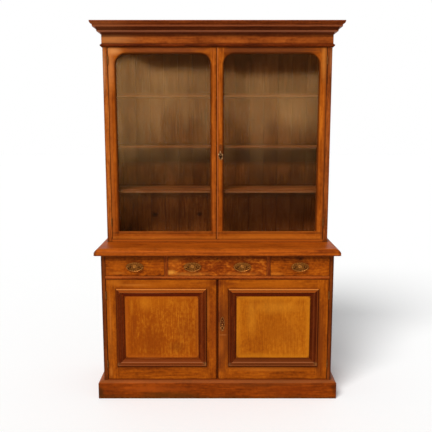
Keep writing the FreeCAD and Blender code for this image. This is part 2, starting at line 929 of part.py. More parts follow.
def slip_x(edge_x):
    return edge_x - slip_from_edge


def slip_rod_y(front):
    return front + door_thickness + slip_plate_thickness + slip_lug_depth / 2


def slip_plate(edge_x, door_top, front):
    x = slip_x(edge_x)
    half = slip_plate_width / 2
    top = door_top - slip_plate_drop
    y0 = front + door_thickness
    y1 = y0 + slip_plate_thickness
    pieces = [box(x - half, x + half, y0, y1, top - slip_plate_length, top)]
    lug_half = slip_lug_depth / 2
    for low in (top - slip_plate_length, top - slip_lug_length):
        pieces.append(box(x - lug_half, x + lug_half, y1, y1 + slip_lug_depth, low, low + slip_lug_length))
    low = top - slip_plate_length - over
    bore_radius = slip_rod_radius + slip_rod_clearance
    bore = rod(bore_radius, V(x, slip_rod_y(front), low), V(0, 0, 1), top + over - low)
    return join(pieces).cut(bore)


def slip_bolt(edge_x, door_top, front):
    x = slip_x(edge_x)
    y = slip_rod_y(front)
    top = door_top - slip_rod_drop
    shaft = rod(slip_rod_radius, V(x, y, top - slip_rod_length), V(0, 0, 1), slip_rod_length)
    lower_lug_top = door_top - slip_plate_drop - slip_plate_length + slip_lug_length
    knob_z = lower_lug_top + slip_knob_radius + slip_knob_gap
    knob = rod(slip_knob_radius, V(x, y, knob_z), V(0, 1, 0), slip_knob_length)
    return join([shaft, knob])


# ---- Escutcheons and drawer pulls ----

# A plain round-topped plate above a lobed drop that holds the keyhole.
def upper_escutcheon():
    x = key_x(upper_right_x, upper_lock_width)
    z = upper_lock_height + upper_escutcheon_rise
    neck = upper_escutcheon_neck / 2
    top = z + upper_escutcheon_length / 2
    drop_height = upper_escutcheon_length / 2
    drop_z = z - upper_escutcheon_length / 2 + drop_height / 2
    shoulder = top - neck
    outline = [(x - neck, drop_z), (x + neck, drop_z), (x + neck, shoulder)]
    outline.append(((x, top), (x - neck, shoulder)))
    plate = through_depth(outline, upper_front - escutcheon_thickness, upper_front)
    drop = lobed_plate(x, drop_z, upper_escutcheon_width, drop_height, escutcheon_lobes,
                       escutcheon_lobe_depth, upper_front, escutcheon_thickness)
    hole = keyhole(x, upper_lock_height, upper_front - door_thickness, upper_front + over)
    return join([plate, drop]).cut(hole)


def base_escutcheon():
    x = key_x(base_meeting_half, base_lock_width)
    z = base_lock_height + base_escutcheon_rise
    plate = lobed_plate(x, z, base_escutcheon_width, base_escutcheon_length, escutcheon_lobes,
                        escutcheon_lobe_depth, base_front, escutcheon_thickness)
    hole = keyhole(x, base_lock_height, base_front - door_thickness, base_front + over)
    return plate.cut(hole)


def pivot_y():
    return base_front - pull_plate_thickness - post_standoff


def pull_plate(x):
    return lobed_plate(x, pull_height, pull_plate_width, pull_plate_height, pull_plate_lobes,
                       pull_lobe_depth, base_front, pull_plate_thickness)


def pull_posts(x):
    posts = []
    z = pull_height + post_rise
    face = base_front - pull_plate_thickness
    for side in (-1, 1):
        centre = x + side * post_spacing / 2
        stem = rod(post_stem_radius, V(centre, face, z), V(0, -1, 0), post_standoff)
        eye = rod(post_eye_radius, V(centre - post_eye_length / 2, pivot_y(), z), V(1, 0, 0),
                  post_eye_length)
        bore = rod(bail_wire_radius + bail_clearance, V(centre - post_eye_length, pivot_y(), z),
                   V(1, 0, 0), 2 * post_eye_length)
        posts.append(join([stem, eye]).cut(bore))
    return posts


# The bail's wire: in through both eyes, round two small corners and along one wide sweep below.
def bail(x):
    z = pull_height + post_rise
    y = pivot_y()
    corner_x = post_spacing / 2 + post_eye_length / 2 + bail_side_gap
    corner_z = z - bail_corner_radius
    fall = bail_drop - 2 * bail_corner_radius
    sweep = (corner_x ** 2 + fall ** 2) / (2 * fall)
    slope = math.asin((sweep - fall) / sweep)
    sweep_z = corner_z + sweep - fall
    tip = post_spacing / 2 - post_eye_length / 2 - bail_tip

    end_angle = math.pi + slope
    middle_angle = (math.pi / 2 + end_angle) / 2
    edges = [Part.makeLine(V(x - tip, y, z), V(x - corner_x, y, z))]
    left = []
    for angle in (math.pi / 2, middle_angle, end_angle):
        across = x - corner_x + bail_corner_radius * math.cos(angle)
        left.append(V(across, y, corner_z + bail_corner_radius * math.sin(angle)))
    right = [V(2 * x - p.x, y, p.z) for p in reversed(left)]
    edges.append(Part.Arc(*left).toShape())
    edges.append(Part.Arc(left[-1], V(x, y, z - bail_drop), right[0]).toShape())
    edges.append(Part.Arc(*right).toShape())
    edges.append(Part.makeLine(V(x + corner_x, y, z), V(x + tip, y, z)))
    section = Part.Wire(Part.makeCircle(bail_wire_radius, V(x - tip, y, z), V(1, 0, 0)))
    return Part.Wire(edges).makePipeShell([section], True, False)


# ---- Drawers ----

def drawer_front(x0, x1):
    z0 = rail_top + drawer_foot_gap
    z1 = base_height - drawer_head_gap
    y1 = base_front + drawer_front_thickness
    front = box(x0 + drawer_gap, x1 - drawer_gap, base_front, y1, z0, z1)
    x = (x0 + x1) / 2
    key_z = base_height - drawer_key_drop
    front = front.cut(keyhole(x, key_z, base_front - over, y1))
    half = drawer_lock_width / 2 + let_in_fit
    pocket_y = y1 - drawer_lock_depth - let_in_fit
    return front.cut(box(x - half, x + half, pocket_y, y1 + over,
                         z1 - drawer_lock_height - let_in_fit, z1 + over))


def drawer_lock(x0, x1):
    x = (x0 + x1) / 2
    z1 = base_height - drawer_head_gap
    y1 = base_front + drawer_front_thickness
    half = drawer_lock_width / 2
    case = box(x - half, x + half, y1 - drawer_lock_depth, y1, z1 - drawer_lock_height, z1)
    key_z = base_height - drawer_key_drop
    return case.cut(keyhole(x, key_z, y1 - drawer_lock_depth - over, y1 - drawer_lock_depth / 2))


def drawer_box(x0, x1):
    left = x0 + drawer_gap
    right = x1 - drawer_gap
    low = rail_top + drawer_seat
    y0 = base_front + drawer_front_thickness
    y1 = boards_front - drawer_back_gap
    wall = drawer_side_thickness
    side_top = base_height - drawer_side_drop
    sides = [box(x, x + wall, y0, y1, low, side_top) for x in (left, right - wall)]
    bottom_z = low + drawer_bottom_rise
    bottom = box(left + wall, right - wall, y0, y1, bottom_z, bottom_z + drawer_bottom_thickness)
    back_z = bottom_z + drawer_bottom_thickness
    back_top = base_height - drawer_back_drop
    back = box(left + wall, right - wall, y1 - wall, y1, back_z, back_top)
    return sides + [back, bottom]


def save_drawer(name, x0, x1, pull_xs):
    save(name + "_drawer_front", [drawer_front(x0, x1)])
    save(name + "_drawer_box", drawer_box(x0, x1))
    fittings = [drawer_lock(x0, x1)]
    for x in pull_xs:
        fittings.append(pull_plate(x))
        fittings += pull_posts(x)
    save(name + "_drawer_fittings", fittings)


# ---- The doors as wholes ----

def save_upper_left_door():
    x0 = -upper_edge_x
    x1 = upper_left_x
    frame, sight = glazed_frame(x0, x1, upper_hanging_stile, upper_left_meeting_stile)
    for recess in right_recesses(upper_inner, door_gap, upper_front, upper_hinge_heights, False):
        frame = frame.cut(mirrored(recess))
    frame = cut_strike(frame, x1, upper_meeting_gap, upper_lock_height, upper_front)
    save("upper_left_door_frame", split_frame(frame, sight[0], sight[1]))
    save("upper_left_glass", [glass_pane(sight)])
    save("upper_left_glazing_beads", glazing_beads(sight))
    leaves = right_hinges(upper_inner, door_gap, upper_front, upper_hinge_heights, False)
    plate = slip_plate(x1, upper_door_high, upper_front)
    save("upper_left_door_fittings", [mirrored(leaf) for leaf in leaves] + [plate])
    save("upper_slip_bolt", [slip_bolt(x1, upper_door_high, upper_front)])


def save_upper_right_door():
    x0 = upper_right_x
    x1 = upper_edge_x
    frame, sight = glazed_frame(x0, x1, upper_right_meeting_stile, upper_hanging_stile)
    for recess in right_recesses(upper_inner, door_gap, upper_front, upper_hinge_heights, False):
        frame = frame.cut(recess)
    frame = cut_lock(frame, x0, upper_lock_width, upper_lock_height, upper_front)
    save("upper_right_door_frame", split_frame(frame, sight[0], sight[1]) + [meeting_bead()])
    save("upper_right_glass", [glass_pane(sight)])
    save("upper_right_glazing_beads", glazing_beads(sight))
    leaves = right_hinges(upper_inner, door_gap, upper_front, upper_hinge_heights, False)
    case = lock_case(x0, upper_lock_width, upper_lock_height, upper_front)
    save("upper_right_door_fittings", leaves + [case])
    save("upper_escutcheon", [upper_escutcheon()])
    save("upper_lock_bolt", [lock_bolt(x0, upper_lock_height, upper_front)])


def save_base_left_door():
    x0 = -base_edge_x
    x1 = -base_meeting_half
    frame, inner = panelled_frame(x0, x1, base_hanging_stile, base_stile + meeting_groove_width)
    frame = cut_meeting_edge(frame, -1)
    for recess in right_recesses(base_inner, base_door_gap, base_front, base_hinge_heights, False):
        frame = frame.cut(mirrored(recess))
    frame = cut_strike(frame, x1, base_meeting_gap, base_lock_height, base_front)
    save("base_left_door_frame", split_frame(frame, inner[0], inner[1]))
    save("base_left_panel", [door_panel(inner)])
    save("base_left_panel_moulding", panel_moulding(inner))
    leaves = right_hinges(base_inner, base_door_gap, base_front, base_hinge_heights, False)
    plate = slip_plate(x1, base_door_high, base_front)
    save("base_left_door_fittings", [mirrored(leaf) for leaf in leaves] + [plate])
    save("base_slip_bolt", [slip_bolt(x1, base_door_high, base_front)])


def save_base_right_door():
    x0 = base_meeting_half
    x1 = base_edge_x
    frame, inner = panelled_frame(x0, x1, base_stile + meeting_groove_width, base_hanging_stile)
    frame = cut_meeting_edge(frame, 1)
    for recess in right_recesses(base_inner, base_door_gap, base_front, base_hinge_heights, False):
        frame = frame.cut(recess)
    frame = cut_lock(frame, x0, base_lock_width, base_lock_height, base_front)
    save("base_right_door_frame", split_frame(frame, inner[0], inner[1]))
    save("base_right_panel", [door_panel(inner)])
    save("base_right_panel_moulding", panel_moulding(inner))
    leaves = right_hinges(base_inner, base_door_gap, base_front, base_hinge_heights, False)
    case = lock_case(x0, base_lock_width, base_lock_height, base_front)
    save("base_right_door_fittings", leaves + [case])
    save("base_escutcheon", [base_escutcheon()])
    save("base_lock_bolt", [lock_bolt(x0, base_lock_height, base_front)])


def save_base_carcass():
    plinth = returned_moulding(plinth_path(), base_half, base_front, back_y, plinth_thickness)
    save("plinth_front", plinth[:1])
    save("plinth_sides", plinth[1:])
    save("plinth_backing", plinth_backing())
    side = base_side()
    save("base_side_right", [side])
    save("base_side_left", [mirrored(side)])
    save("base_floor", [base_floor()])
    save("base_back_boards", back_boards(base_inner, floor_play, base_height))
    save("cupboard_shelf", [cupboard_shelf()])
    save("cupboard_bearers", cupboard_bearers())
    save("drawer_rail", [drawer_rail()])
    save("drawer_dividers", drawer_dividers())
    save("drawer_runners", drawer_runners())
    save("waist_top", [waist_top()])


def save_upper_carcass():
    side = upper_side()
    save("upper_side_right", [side])
    save("upper_side_left", [mirrored(side)])
    save("upper_floor", [upper_floor()])
    save("upper_roof", [upper_roof()])
    save("upper_back_boards", back_boards(upper_inner, waist_z, frieze_z))
    save("book_shelves", book_shelves())
    save("shelf_pins", shelf_pins())
    save("frieze_boards", frieze_boards())
    save("dust_board", [dust_board()])
    save("astragal_moulding", case_moulding(astragal_path(), 0, astragal_projection))
    cornice = cornice_path()
    save("cornice_moulding", case_moulding(cornice, frieze_proud, cornice[-2][0]))


def save_carcass_hinges():
    halves = right_hinges(upper_inner, door_gap, upper_front, upper_hinge_heights, True)
    halves += right_hinges(base_inner, base_door_gap, base_front, base_hinge_heights, True)
    save("carcass_hinge_halves", halves + [mirrored(half) for half in halves])


def save_drawers():
    inner_edge = divider_centre - divider_thickness / 2
    outer_edge = divider_centre + divider_thickness / 2
    side_x = (outer_edge + base_inner) / 2
    save_drawer("left", -base_inner, -outer_edge, [-side_x])
    save_drawer("centre", -inner_edge, inner_edge, [-centre_pull_offset, centre_pull_offset])
    save_drawer("right", outer_edge, base_inner, [side_x])
    save("left_drawer_bail", [bail(-side_x)])
    save("centre_drawer_bail_left", [bail(-centre_pull_offset)])
    save("centre_drawer_bail_right", [bail(centre_pull_offset)])
    save("right_drawer_bail", [bail(side_x)])


def main():
    os.makedirs("parts", exist_ok=True)
    save_base_carcass()
    save_upper_carcass()
    save_carcass_hinges()
    save_upper_left_door()
    save_upper_right_door()
    save_base_left_door()
    save_base_right_door()
    save_drawers()
    bounds = FreeCAD.BoundBox()
    for solids in nodes.values():
        for solid in solids:
            bounds.add(solid.BoundBox)
    print("nodes", len(nodes))
    print("size", round(bounds.XLength, 2), round(bounds.YLength, 2), round(bounds.ZLength, 2))


main()
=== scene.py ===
import math

import bmesh
import bpy
from mathutils import Matrix, Vector


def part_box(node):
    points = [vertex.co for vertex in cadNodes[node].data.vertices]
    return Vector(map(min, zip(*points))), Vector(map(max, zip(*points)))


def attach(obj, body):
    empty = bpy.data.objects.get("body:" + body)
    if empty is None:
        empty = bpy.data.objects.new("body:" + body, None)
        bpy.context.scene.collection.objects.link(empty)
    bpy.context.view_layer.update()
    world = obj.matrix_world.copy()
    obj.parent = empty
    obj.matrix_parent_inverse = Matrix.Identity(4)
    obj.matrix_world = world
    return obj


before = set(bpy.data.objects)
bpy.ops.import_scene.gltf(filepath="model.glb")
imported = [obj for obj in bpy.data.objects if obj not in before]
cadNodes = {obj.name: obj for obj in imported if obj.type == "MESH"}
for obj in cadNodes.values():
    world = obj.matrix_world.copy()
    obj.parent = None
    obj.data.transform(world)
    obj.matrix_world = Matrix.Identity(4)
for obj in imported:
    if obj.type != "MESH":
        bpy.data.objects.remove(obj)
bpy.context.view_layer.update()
print("frame loaded:", len(cadNodes), "nodes")


# ---- colour and shader helpers ----

def tint(red, green, blue):  # screen values from 0 to 255
    def linear(value):
        value = value / 255
        return value / 12.92 if value <= 0.04045 else ((value + 0.055) / 1.055) ** 2.4
    return (linear(red), linear(green), linear(blue), 1.0)


class Link:  # one socket, so that plain arithmetic adds Math nodes
    def __init__(self, finish, socket):
        self.finish = finish
        self.socket = socket

    def __add__(self, other):
        return self.finish.calc("ADD", self, other)

    def __sub__(self, other):
        return self.finish.calc("SUBTRACT", self, other)

    def __rsub__(self, other):
        return self.finish.calc("SUBTRACT", other, self)

    def __mul__(self, other):
        return self.finish.calc("MULTIPLY", self, other)

    def __truediv__(self, other):
        return self.finish.calc("DIVIDE", self, other)

    def __abs__(self):
        return self.finish.calc("ABSOLUTE", self)

    def __gt__(self, other):
        return self.finish.calc("GREATER_THAN", self, other)

    def __lt__(self, other):
        return self.finish.calc("LESS_THAN", self, other)


socketNames = {
    "colour": "Base Color",
    "metallic": "Metallic",
    "roughness": "Roughness",
    "ior": "IOR",
    "alpha": "Alpha",
    "normal": "Normal",
    "specular": "Specular IOR Level",
    "glow": "Emission Color",
    "glowLevel": "Emission Strength",
    "backColour": "Color",
    "backLevel": "Strength",
}


class Finish:  # the nodes of one material, or of the world
    def __init__(self, owner):
        owner.use_nodes = True
        self.owner = owner
        self.tree = owner.node_tree
        self.shader = self.tree.nodes.get("Principled BSDF") or self.tree.nodes["Background"]

    def add(self, kind, settings=None, inputs=None):
        node = self.tree.nodes.new("ShaderNode" + kind)
        for name, value in (settings or {}).items():
            if name == "stops":
                self.setStops(node.color_ramp, value)
            else:
                setattr(node, name, value)
        for name, value in (inputs or {}).items():
            self.feed(node, name, value)
        return {socket.identifier: Link(self, socket) for socket in node.outputs}

    def setStops(self, ramp, stops):
        while len(ramp.elements) < len(stops):
            ramp.elements.new(0.5)
        for element, (place, colour) in zip(ramp.elements, stops):
            element.position = place
            element.color = colour

    def feed(self, node, name, value):
        socket = next(s for s in node.inputs if s.identifier == name)
        if isinstance(value, Link):
            self.tree.links.new(value.socket, socket)
        else:
            socket.default_value = value

    def set(self, **values):
        for name, value in values.items():
            self.feed(self.shader, socketNames[name], value)

    def calc(self, operation, *values):
        slots = ("Value", "Value_001", "Value_002")
        return self.add("Math", {"operation": operation}, dict(zip(slots, values)))["Value"]

    def place(self):
        where = self.add("TexCoord")["Object"]
        parts = self.add("SeparateXYZ", {}, {"Vector": where})
        return parts["X"], parts["Y"], parts["Z"]

    def vector(self, x, y, z):
        return self.add("CombineXYZ", {}, {"X": x, "Y": y, "Z": z})["Vector"]

    def length(self, x, z):
        return self.calc("SQRT", x * x + z * z)

    def noise(self, vector, scale, detail=2.0, roughness=0.5):
        inputs = {"Vector": vector, "Scale": scale, "Detail": detail, "Roughness": roughness}
        return self.add("TexNoise", {}, inputs)["Fac"]

    def ease(self, value, low, high, start=0.0, end=1.0):
        inputs = {"Value": value, "From Min": low, "From Max": high, "To Min": start, "To Max": end}
        return self.add("MapRange", {"interpolation_type": "SMOOTHSTEP"}, inputs)["Result"]

    def blend(self, share, first, second):
        inputs = {"Factor_Float": share, "A_Color": first, "B_Color": second}
        return self.add("Mix", {"data_type": "RGBA"}, inputs)["Result_Color"]

    def bump(self, height, distance, strength):
        inputs = {"Height": height, "Distance": distance, "Strength": strength}
        return self.add("Bump", {}, inputs)["Normal"]

    def seen(self):  # 1 for what the camera, a reflection or a pane shows
        ray = self.add("LightPath")
        return ray["Is Camera Ray"] + ray["Is Glossy Ray"] + ray["Is Transmission Ray"]


def edgesOf(verts):  # each edge once
    return list(dict.fromkeys(edge for vert in verts for edge in vert.link_edges))


def dress(finish, *names):
    for name in names:
        for slot in cadNodes[name].material_slots:
            slot.material = finish.owner


weldDistance = 0.00002


def finishPiece(name, shape, finish, body):
    bmesh.ops.remove_doubles(shape, verts=shape.verts, dist=weldDistance)
    bmesh.ops.recalc_face_normals(shape, faces=shape.faces)
    mesh = bpy.data.meshes.new(name)
    shape.to_mesh(mesh)
    shape.free()
    mesh.shade_smooth()
    mesh.materials.append(finish.owner)
    piece = bpy.data.objects.new(name, mesh)
    bpy.context.scene.collection.objects.link(piece)
    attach(piece, body)
    return piece


# ---- wood ----

plainWood = {
    "light": (196, 106, 24),
    "middle": (160, 77, 12),
    "dark": (110, 45, 5),
    "grain": "x",
    "heart": (0.0, 0.0),        # the tree's middle, across and behind the face
    "rings": 140.0,             # growth rings in a metre
    "warp": 0.03,               # how far the rings wander, in metres
    "figure": 0.18,
    "streak": 0.5,
    "streakSize": 105.0,
    "fibre": 0.25,
    "fibreSize": 420.0,
    "cloud": 0.55,
    "cloudSize": 9.0,
    "mottle": 0.3,              # small uneven patches in the old varnish
    "mottleSize": 75.0,
    "pore": 0.35,
    "poreSize": 1300.0,
    "relief": 0.0004,
    "seed": 0.0,
    "roughness": 0.4,
    "specular": 0.03,
    "spots": (),                # stains, lighter places, painted shade and painted highlights
    "bands": (),                # lines along an arris or in a recess
    "rims": (),                 # a lighter or darker border
    "frame": None,
}
grime = (52, 20, 6)
mitreBlur = 0.0008
frontBlur = 0.003
memberSteps = {"board": 3.17, "side": 0.9, "rightSide": 1.7, "stile": 0.6, "rightStile": 1.3, "upper": 2.1}


# A darker or lighter place, used for stains and wear and for painted shade and highlights: its middle, half
# sizes, share and colour. One marked before stays on the front.
def spot(x, z, halfX, halfZ, share, colour=None, soft=0.9, **more):
    return {"middle": (x, z), "half": (halfX, halfZ), "share": share, "colour": colour, "soft": soft, **more}


# A line from low to high on one axis, or on both sides of the middle.
def band(axis, low, high, share, colour, soft=0.0015, wander=0.002, **more):
    return {"axis": axis, "low": low, "high": high, "share": share, "colour": colour, "soft": soft,
            "wander": wander, **more}


# A line that follows a border on its inside, or on its outside.
def rim(border, width, share, colour, start=0.0, corner=0.0, ragged=0.7, **more):
    return {"border": border, "width": width, "share": share, "colour": colour, "start": start,
            "corner": corner, "ragged": ragged, **more}


# The place across, behind and along the board that a point is on, and a number for that board.
def grainSpace(look, x, y, z):
    kind = look["grain"]
    if kind == "x":
        return z, y, x, 0.0
    if kind == "y":
        return x, z, y, 0.0
    if kind == "z":
        return x, y, z, 0.0
    if kind == "returned":      # along the front and back along both sides
        innerX, innerY = look["frame"]
        side = (abs(x) - innerX + y - innerY) > 0.0
        along = x + side * (y - x)
        behind = y + side * (x - y)
        return z, behind, along, side * ((x > 0.0) * memberSteps["rightSide"] + memberSteps["side"])
    if kind == "boards":        # upright boards side by side
        first, width = look["frame"]
        board = x.finish.calc("FLOOR", (x - first) / width)
        return x, y, z, board * memberSteps["board"]
    middleX, middleZ, halfX, halfZ = look["frame"]
    offX = x - middleX
    offZ = z - middleZ
    if kind == "mitred":        # four mitred strips round a panel
        upright = (abs(offZ) - halfZ) < (abs(offX) - halfX)
    else:                       # full-height stiles with rails between
        upright = abs(offX) > halfX
    along = x + upright * (z - x)
    across = z + upright * (x - z)
    stile = upright * ((offX > 0.0) * memberSteps["rightStile"] + memberSteps["stile"])
    return across, y, along, stile + (1.0 - upright) * ((offZ > 0.0) * memberSteps["upper"])


def spotMask(finish, x, y, z, cloud, mark):
    offX = (x - mark["middle"][0]) / mark["half"][0]
    offZ = ((y if mark.get("onTop") else z) - mark["middle"][1]) / mark["half"][1]
    reach = finish.length(offX, offZ) + (cloud - 0.5) * mark.get("ragged", 0.8)
    return finish.ease(reach, 1.0 - mark["soft"], 1.0, mark["share"], 0.0)


def bandMask(finish, look, x, y, z, cloud, mark):
    place = {"x": x, "y": y, "z": z, "sides": abs(x)}[mark["axis"]] + (cloud - 0.5) * mark["wander"]
    soft = mark["soft"]
    share = finish.ease(place, mark["low"] - soft, mark["low"] + soft)
    share = share * finish.ease(place, mark["high"] - soft, mark["high"] + soft, 1.0, 0.0) * mark["share"]
    if "member" in mark:        # keeps to the level or the upright lengths of a mitred border
        middleX, middleZ, halfX, halfZ = look["frame"]
        nearSide = abs(x - middleX) - halfX
        nearEnd = abs(z - middleZ) - halfZ
        level = finish.ease(nearEnd - nearSide, -mitreBlur, mitreBlur)
        share = share * (level if mark["member"] == "level" else 1.0 - level)
    if "within" in mark:        # stops short of both ends
        share = share * finish.ease(abs(x), mark["within"] - 0.008, mark["within"], 1.0, 0.0)
    return share


# How far a point is inside an upright border, whose corners may be round; outside it is below 0.
def depthInside(finish, x, z, border, corner, footToo):
    middleX, middleZ, halfX, halfZ = border
    overX = abs(x - middleX) - halfX
    overZ = abs(z - middleZ) - halfZ
    square = 0.0 - finish.calc("MAXIMUM", overX, overZ)
    if corner == 0.0:
        return square
    roundX = finish.calc("MAXIMUM", overX + corner, 0.0)
    roundZ = finish.calc("MAXIMUM", overZ + corner, 0.0)
    rounded = corner - finish.length(roundX, roundZ)
    isCorner = (roundX > 0.0) * (roundZ > 0.0)
    if not footToo:
        isCorner = isCorner * (z > middleZ)
    return square + isCorner * (rounded - square)


def rimMask(finish, x, z, cloud, mark):
    depth = depthInside(finish, x, z, mark["border"], mark["corner"], mark.get("footToo"))
    if mark.get("outside"):
        depth = 0.0 - depth
    wander = (cloud - 0.5) * mark["width"] * mark["ragged"]
    share = finish.ease(depth + wander, mark["start"], mark["start"] + mark["width"], mark["share"], 0.0)
    if "above" in mark:
        share = share * finish.ease(z, mark["above"], mark["above"] + 0.01)
    return share


def woodFinish(name, changes):
    look = {**plainWood, **changes}
    finish = Finish(bpy.data.materials.new(name))
    x, y, z = finish.place()
    across, behind, along, member = grainSpace(look, x, y, z)
    seed = member + look["seed"]

    def pattern(stretch, size, detail=3.0):  # drawn out along the grain
        return finish.noise(finish.vector(across + seed, behind, along * stretch + seed), size, detail, 0.6)

    slow = finish.vector(across * 2.0 + seed, behind * 2.0, along * 0.9 + seed)
    drift = finish.noise(slow, 1.6, 2.0)
    sideDrift = finish.noise(slow, 3.7, 1.0)
    offAcross = across - look["heart"][0] + (drift - 0.5) * look["warp"] * 2
    offBehind = behind - look["heart"][1] + (sideDrift - 0.5) * look["warp"]
    radius = finish.length(offAcross, offBehind)
    streak = pattern(0.07, look["streakSize"])
    fibre = pattern(0.025, look["fibreSize"])
    cloud = pattern(0.45, look["cloudSize"])
    mottle = pattern(0.7, look["mottleSize"], 2.0)
    ringPhase = finish.calc("FRACT", radius * look["rings"] + streak * 1.1 + seed)
    ring = finish.ease(ringPhase, 0.0, 0.75) * finish.ease(ringPhase, 1.0, 0.82)

    tone = (0.45 - ring) * look["figure"] + (streak - 0.5) * look["streak"] * 2.0 + 0.5
    tone = tone + (cloud - 0.5) * look["cloud"] * 2.0 + (fibre - 0.5) * look["fibre"] * 2.0
    tone = tone + (mottle - 0.5) * look["mottle"] * 2.0
    stops = [(0.1, tint(*look["dark"])), (0.5, tint(*look["middle"])), (0.9, tint(*look["light"]))]
    colour = finish.add("ValToRGB", {"stops": stops}, {"Fac": tone})["Color"]
    poreSpace = finish.vector(across + seed, behind, along * 0.06)
    pore = finish.ease(finish.noise(poreSpace, look["poreSize"], 1.0), 0.6, 0.7)
    colour = finish.blend(pore * look["pore"], colour, tint(*look["dark"]))

    smudge = cloud * 0.5 + streak * 0.5
    masks = [(mark, spotMask(finish, x, y, z, smudge, mark)) for mark in look["spots"]]
    masks += [(mark, bandMask(finish, look, x, y, z, cloud, mark)) for mark in look["bands"]]
    masks += [(mark, rimMask(finish, x, z, cloud, mark)) for mark in look["rims"]]
    for mark, share in masks:
        if "before" in mark:    # stays on the front
            share = share * finish.ease(y, mark["before"], mark["before"] + frontBlur, 1.0, 0.0)
        colour = finish.blend(share, colour, tint(*mark["colour"]))

    finish.set(colour=colour, specular=look["specular"],
               roughness=(0.5 - streak) * 0.25 + look["roughness"] + (cloud - 0.5) * 0.12,
               normal=finish.bump(pore * -0.7 + fibre * 0.5 + streak * 0.4, look["relief"], 0.5))
    return finish


def dressWood(name, look, *nodes):
    dress(woodFinish(name, look), *nodes)


# The border of a node's front, as its middle and half sizes.
def outlineOf(node, inset=0.0):
    low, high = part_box(node)
    return ((low.x + high.x) / 2, (low.z + high.z) / 2,
            (high.x - low.x) / 2 - inset, (high.z - low.z) / 2 - inset)


# The outline in which a framed door's rails lie between its stiles.
def stilesOf(node, width):
    return (*outlineOf(node, width)[:3], 0.0)


# ---- carcass ----

plinthLook = {
    "light": (164, 72, 9), "middle": (130, 53, 4), "dark": (86, 31, 2),
    "bands": (
        band("z", 0.1, 0.12, 0.5, (166, 96, 50), soft=0.003),
        band("z", -0.02, 0.018, 0.55, (84, 44, 8), soft=0.012, wander=0.04),
        band("z", -0.02, 0.004, 0.7, (44, 24, 8), soft=0.002),
    ),
}
dressWood("plinthWood", {
    **plinthLook, "heart": (-0.1, -0.2), "seed": 3.1,
    "spots": (
        spot(-0.3, 0.022, 0.26, 0.035, 0.5, (92, 50, 8)),
        spot(-0.4, 0.062, 0.32, 0.032, 0.5, (158, 70, 16)),
        spot(0.45, 0.055, 0.24, 0.045, 0.5, (120, 44, 4)),
        spot(0.42, 0.09, 0.32, 0.016, 0.5, (96, 40, 7)),
        spot(0.22, 0.085, 0.3, 0.018, 0.5, (88, 42, 10)),
        spot(0.35, 0.104, 0.42, 0.014, 0.7, (90, 38, 10)),
        spot(0.3, 0.04, 0.1, 0.05, 0.35, (92, 36, 4)),
        spot(-0.725, 0.04, 0.035, 0.06, 0.75, (66, 36, 8), soft=0.8),
        spot(0.725, 0.06, 0.03, 0.06, 0.6, (70, 30, 6), soft=0.8),
    ),
}, "plinth_front")
dressWood("plinthReturnWood", {**plinthLook, "heart": (0.62, 0.05), "grain": "y", "seed": 5.3},
          "plinth_sides")

# Painted shade, with some dirt, on the rounded front edges of the base sides, and a dark line beside the
# doors.
baseEdgeShade = (
    band("sides", 0.679, 0.72, 0.55, (84, 36, 8), soft=0.003, before=-0.242),
    band("sides", 0.6935, 0.72, 0.65, (44, 20, 8), soft=0.003, before=-0.242),
    band("sides", 0.66, 0.6785, 0.8, (60, 20, 3), soft=0.002, before=-0.23),
)
baseSideLook = {
    "light": (168, 82, 22), "middle": (136, 60, 13), "dark": (86, 34, 7), "grain": "z", "bands": baseEdgeShade,
}
dressWood("baseSideLeftWood", {**baseSideLook, "heart": (-0.62, 0.02), "seed": 1.2}, "base_side_left")
dressWood("baseSideRightWood", {**baseSideLook, "heart": (0.62, -0.03), "seed": 7.9}, "base_side_right")
# Painted shade, with some dirt, on the front edges of the upper sides, and a dark line beside the doors.
upperEdgeShade = (
    band("sides", 0.69, 0.72, 0.5, (96, 52, 26), soft=0.003, before=-0.03),
    band("sides", 0.64, 0.6665, 0.8, (60, 22, 4), soft=0.0015, before=-0.02),
)
dressWood("upperSideLeftWood", {
    "light": (198, 112, 42), "middle": (170, 86, 26), "dark": (116, 52, 14), "heart": (-0.6, 0.1),
    "grain": "z", "seed": 2.7, "bands": upperEdgeShade,
    "spots": (spot(-0.7, 2.01, 0.03, 0.22, 0.65, (224, 148, 92), before=-0.03),),
}, "upper_side_left")
dressWood("upperSideRightWood", {
    "light": (170, 88, 32), "middle": (136, 64, 20), "dark": (84, 36, 10), "heart": (0.6, 0.12),
    "grain": "z", "seed": 8.8, "bands": upperEdgeShade,
    "spots": (spot(0.7, 2.05, 0.03, 0.12, 0.5, (196, 122, 70), before=-0.03),),
}, "upper_side_right")
dressWood("waistWood", {
    "light": (194, 94, 20), "middle": (164, 76, 14), "dark": (118, 46, 7), "heart": (0.8, -0.15),
    "rings": 110.0, "seed": 4.4,
    # A painted highlight along the moulded front edge; painted shade at the foot of the upper case, under and
    # within the moulded edge and on the ledge's ends.
    "bands": (
        band("y", -0.2555, -0.249, 0.25, (196, 112, 44), soft=0.002),
        band("y", -0.052, 0.0, 0.75, (60, 24, 6), soft=0.01, within=0.706),
        band("z", 0.89, 0.9035, 0.65, (84, 32, 8), soft=0.002),
        band("z", 0.915, 0.92, 0.6, (100, 40, 8), soft=0.002),
        band("sides", 0.721, 0.76, 0.5, (78, 40, 12), soft=0.006),
    ),
    "spots": (spot(-0.326, -0.04, 0.024, 0.014, 0.9, (40, 16, 6), soft=0.4, onTop=True),),
}, "waist_top")
dressWood("railWood", {
    "light": (176, 84, 20), "middle": (144, 61, 10), "dark": (96, 36, 6), "heart": (0.7, -0.2),
    "seed": 6.1,
    # A painted highlight along the rail's bead and painted shade along its lower edge above the doors.
    "bands": (
        band("z", 0.76, 0.765, 0.5, (190, 106, 44)),
        band("z", 0.745, 0.7515, 0.5, (80, 30, 6)),
    ),
}, "drawer_rail")
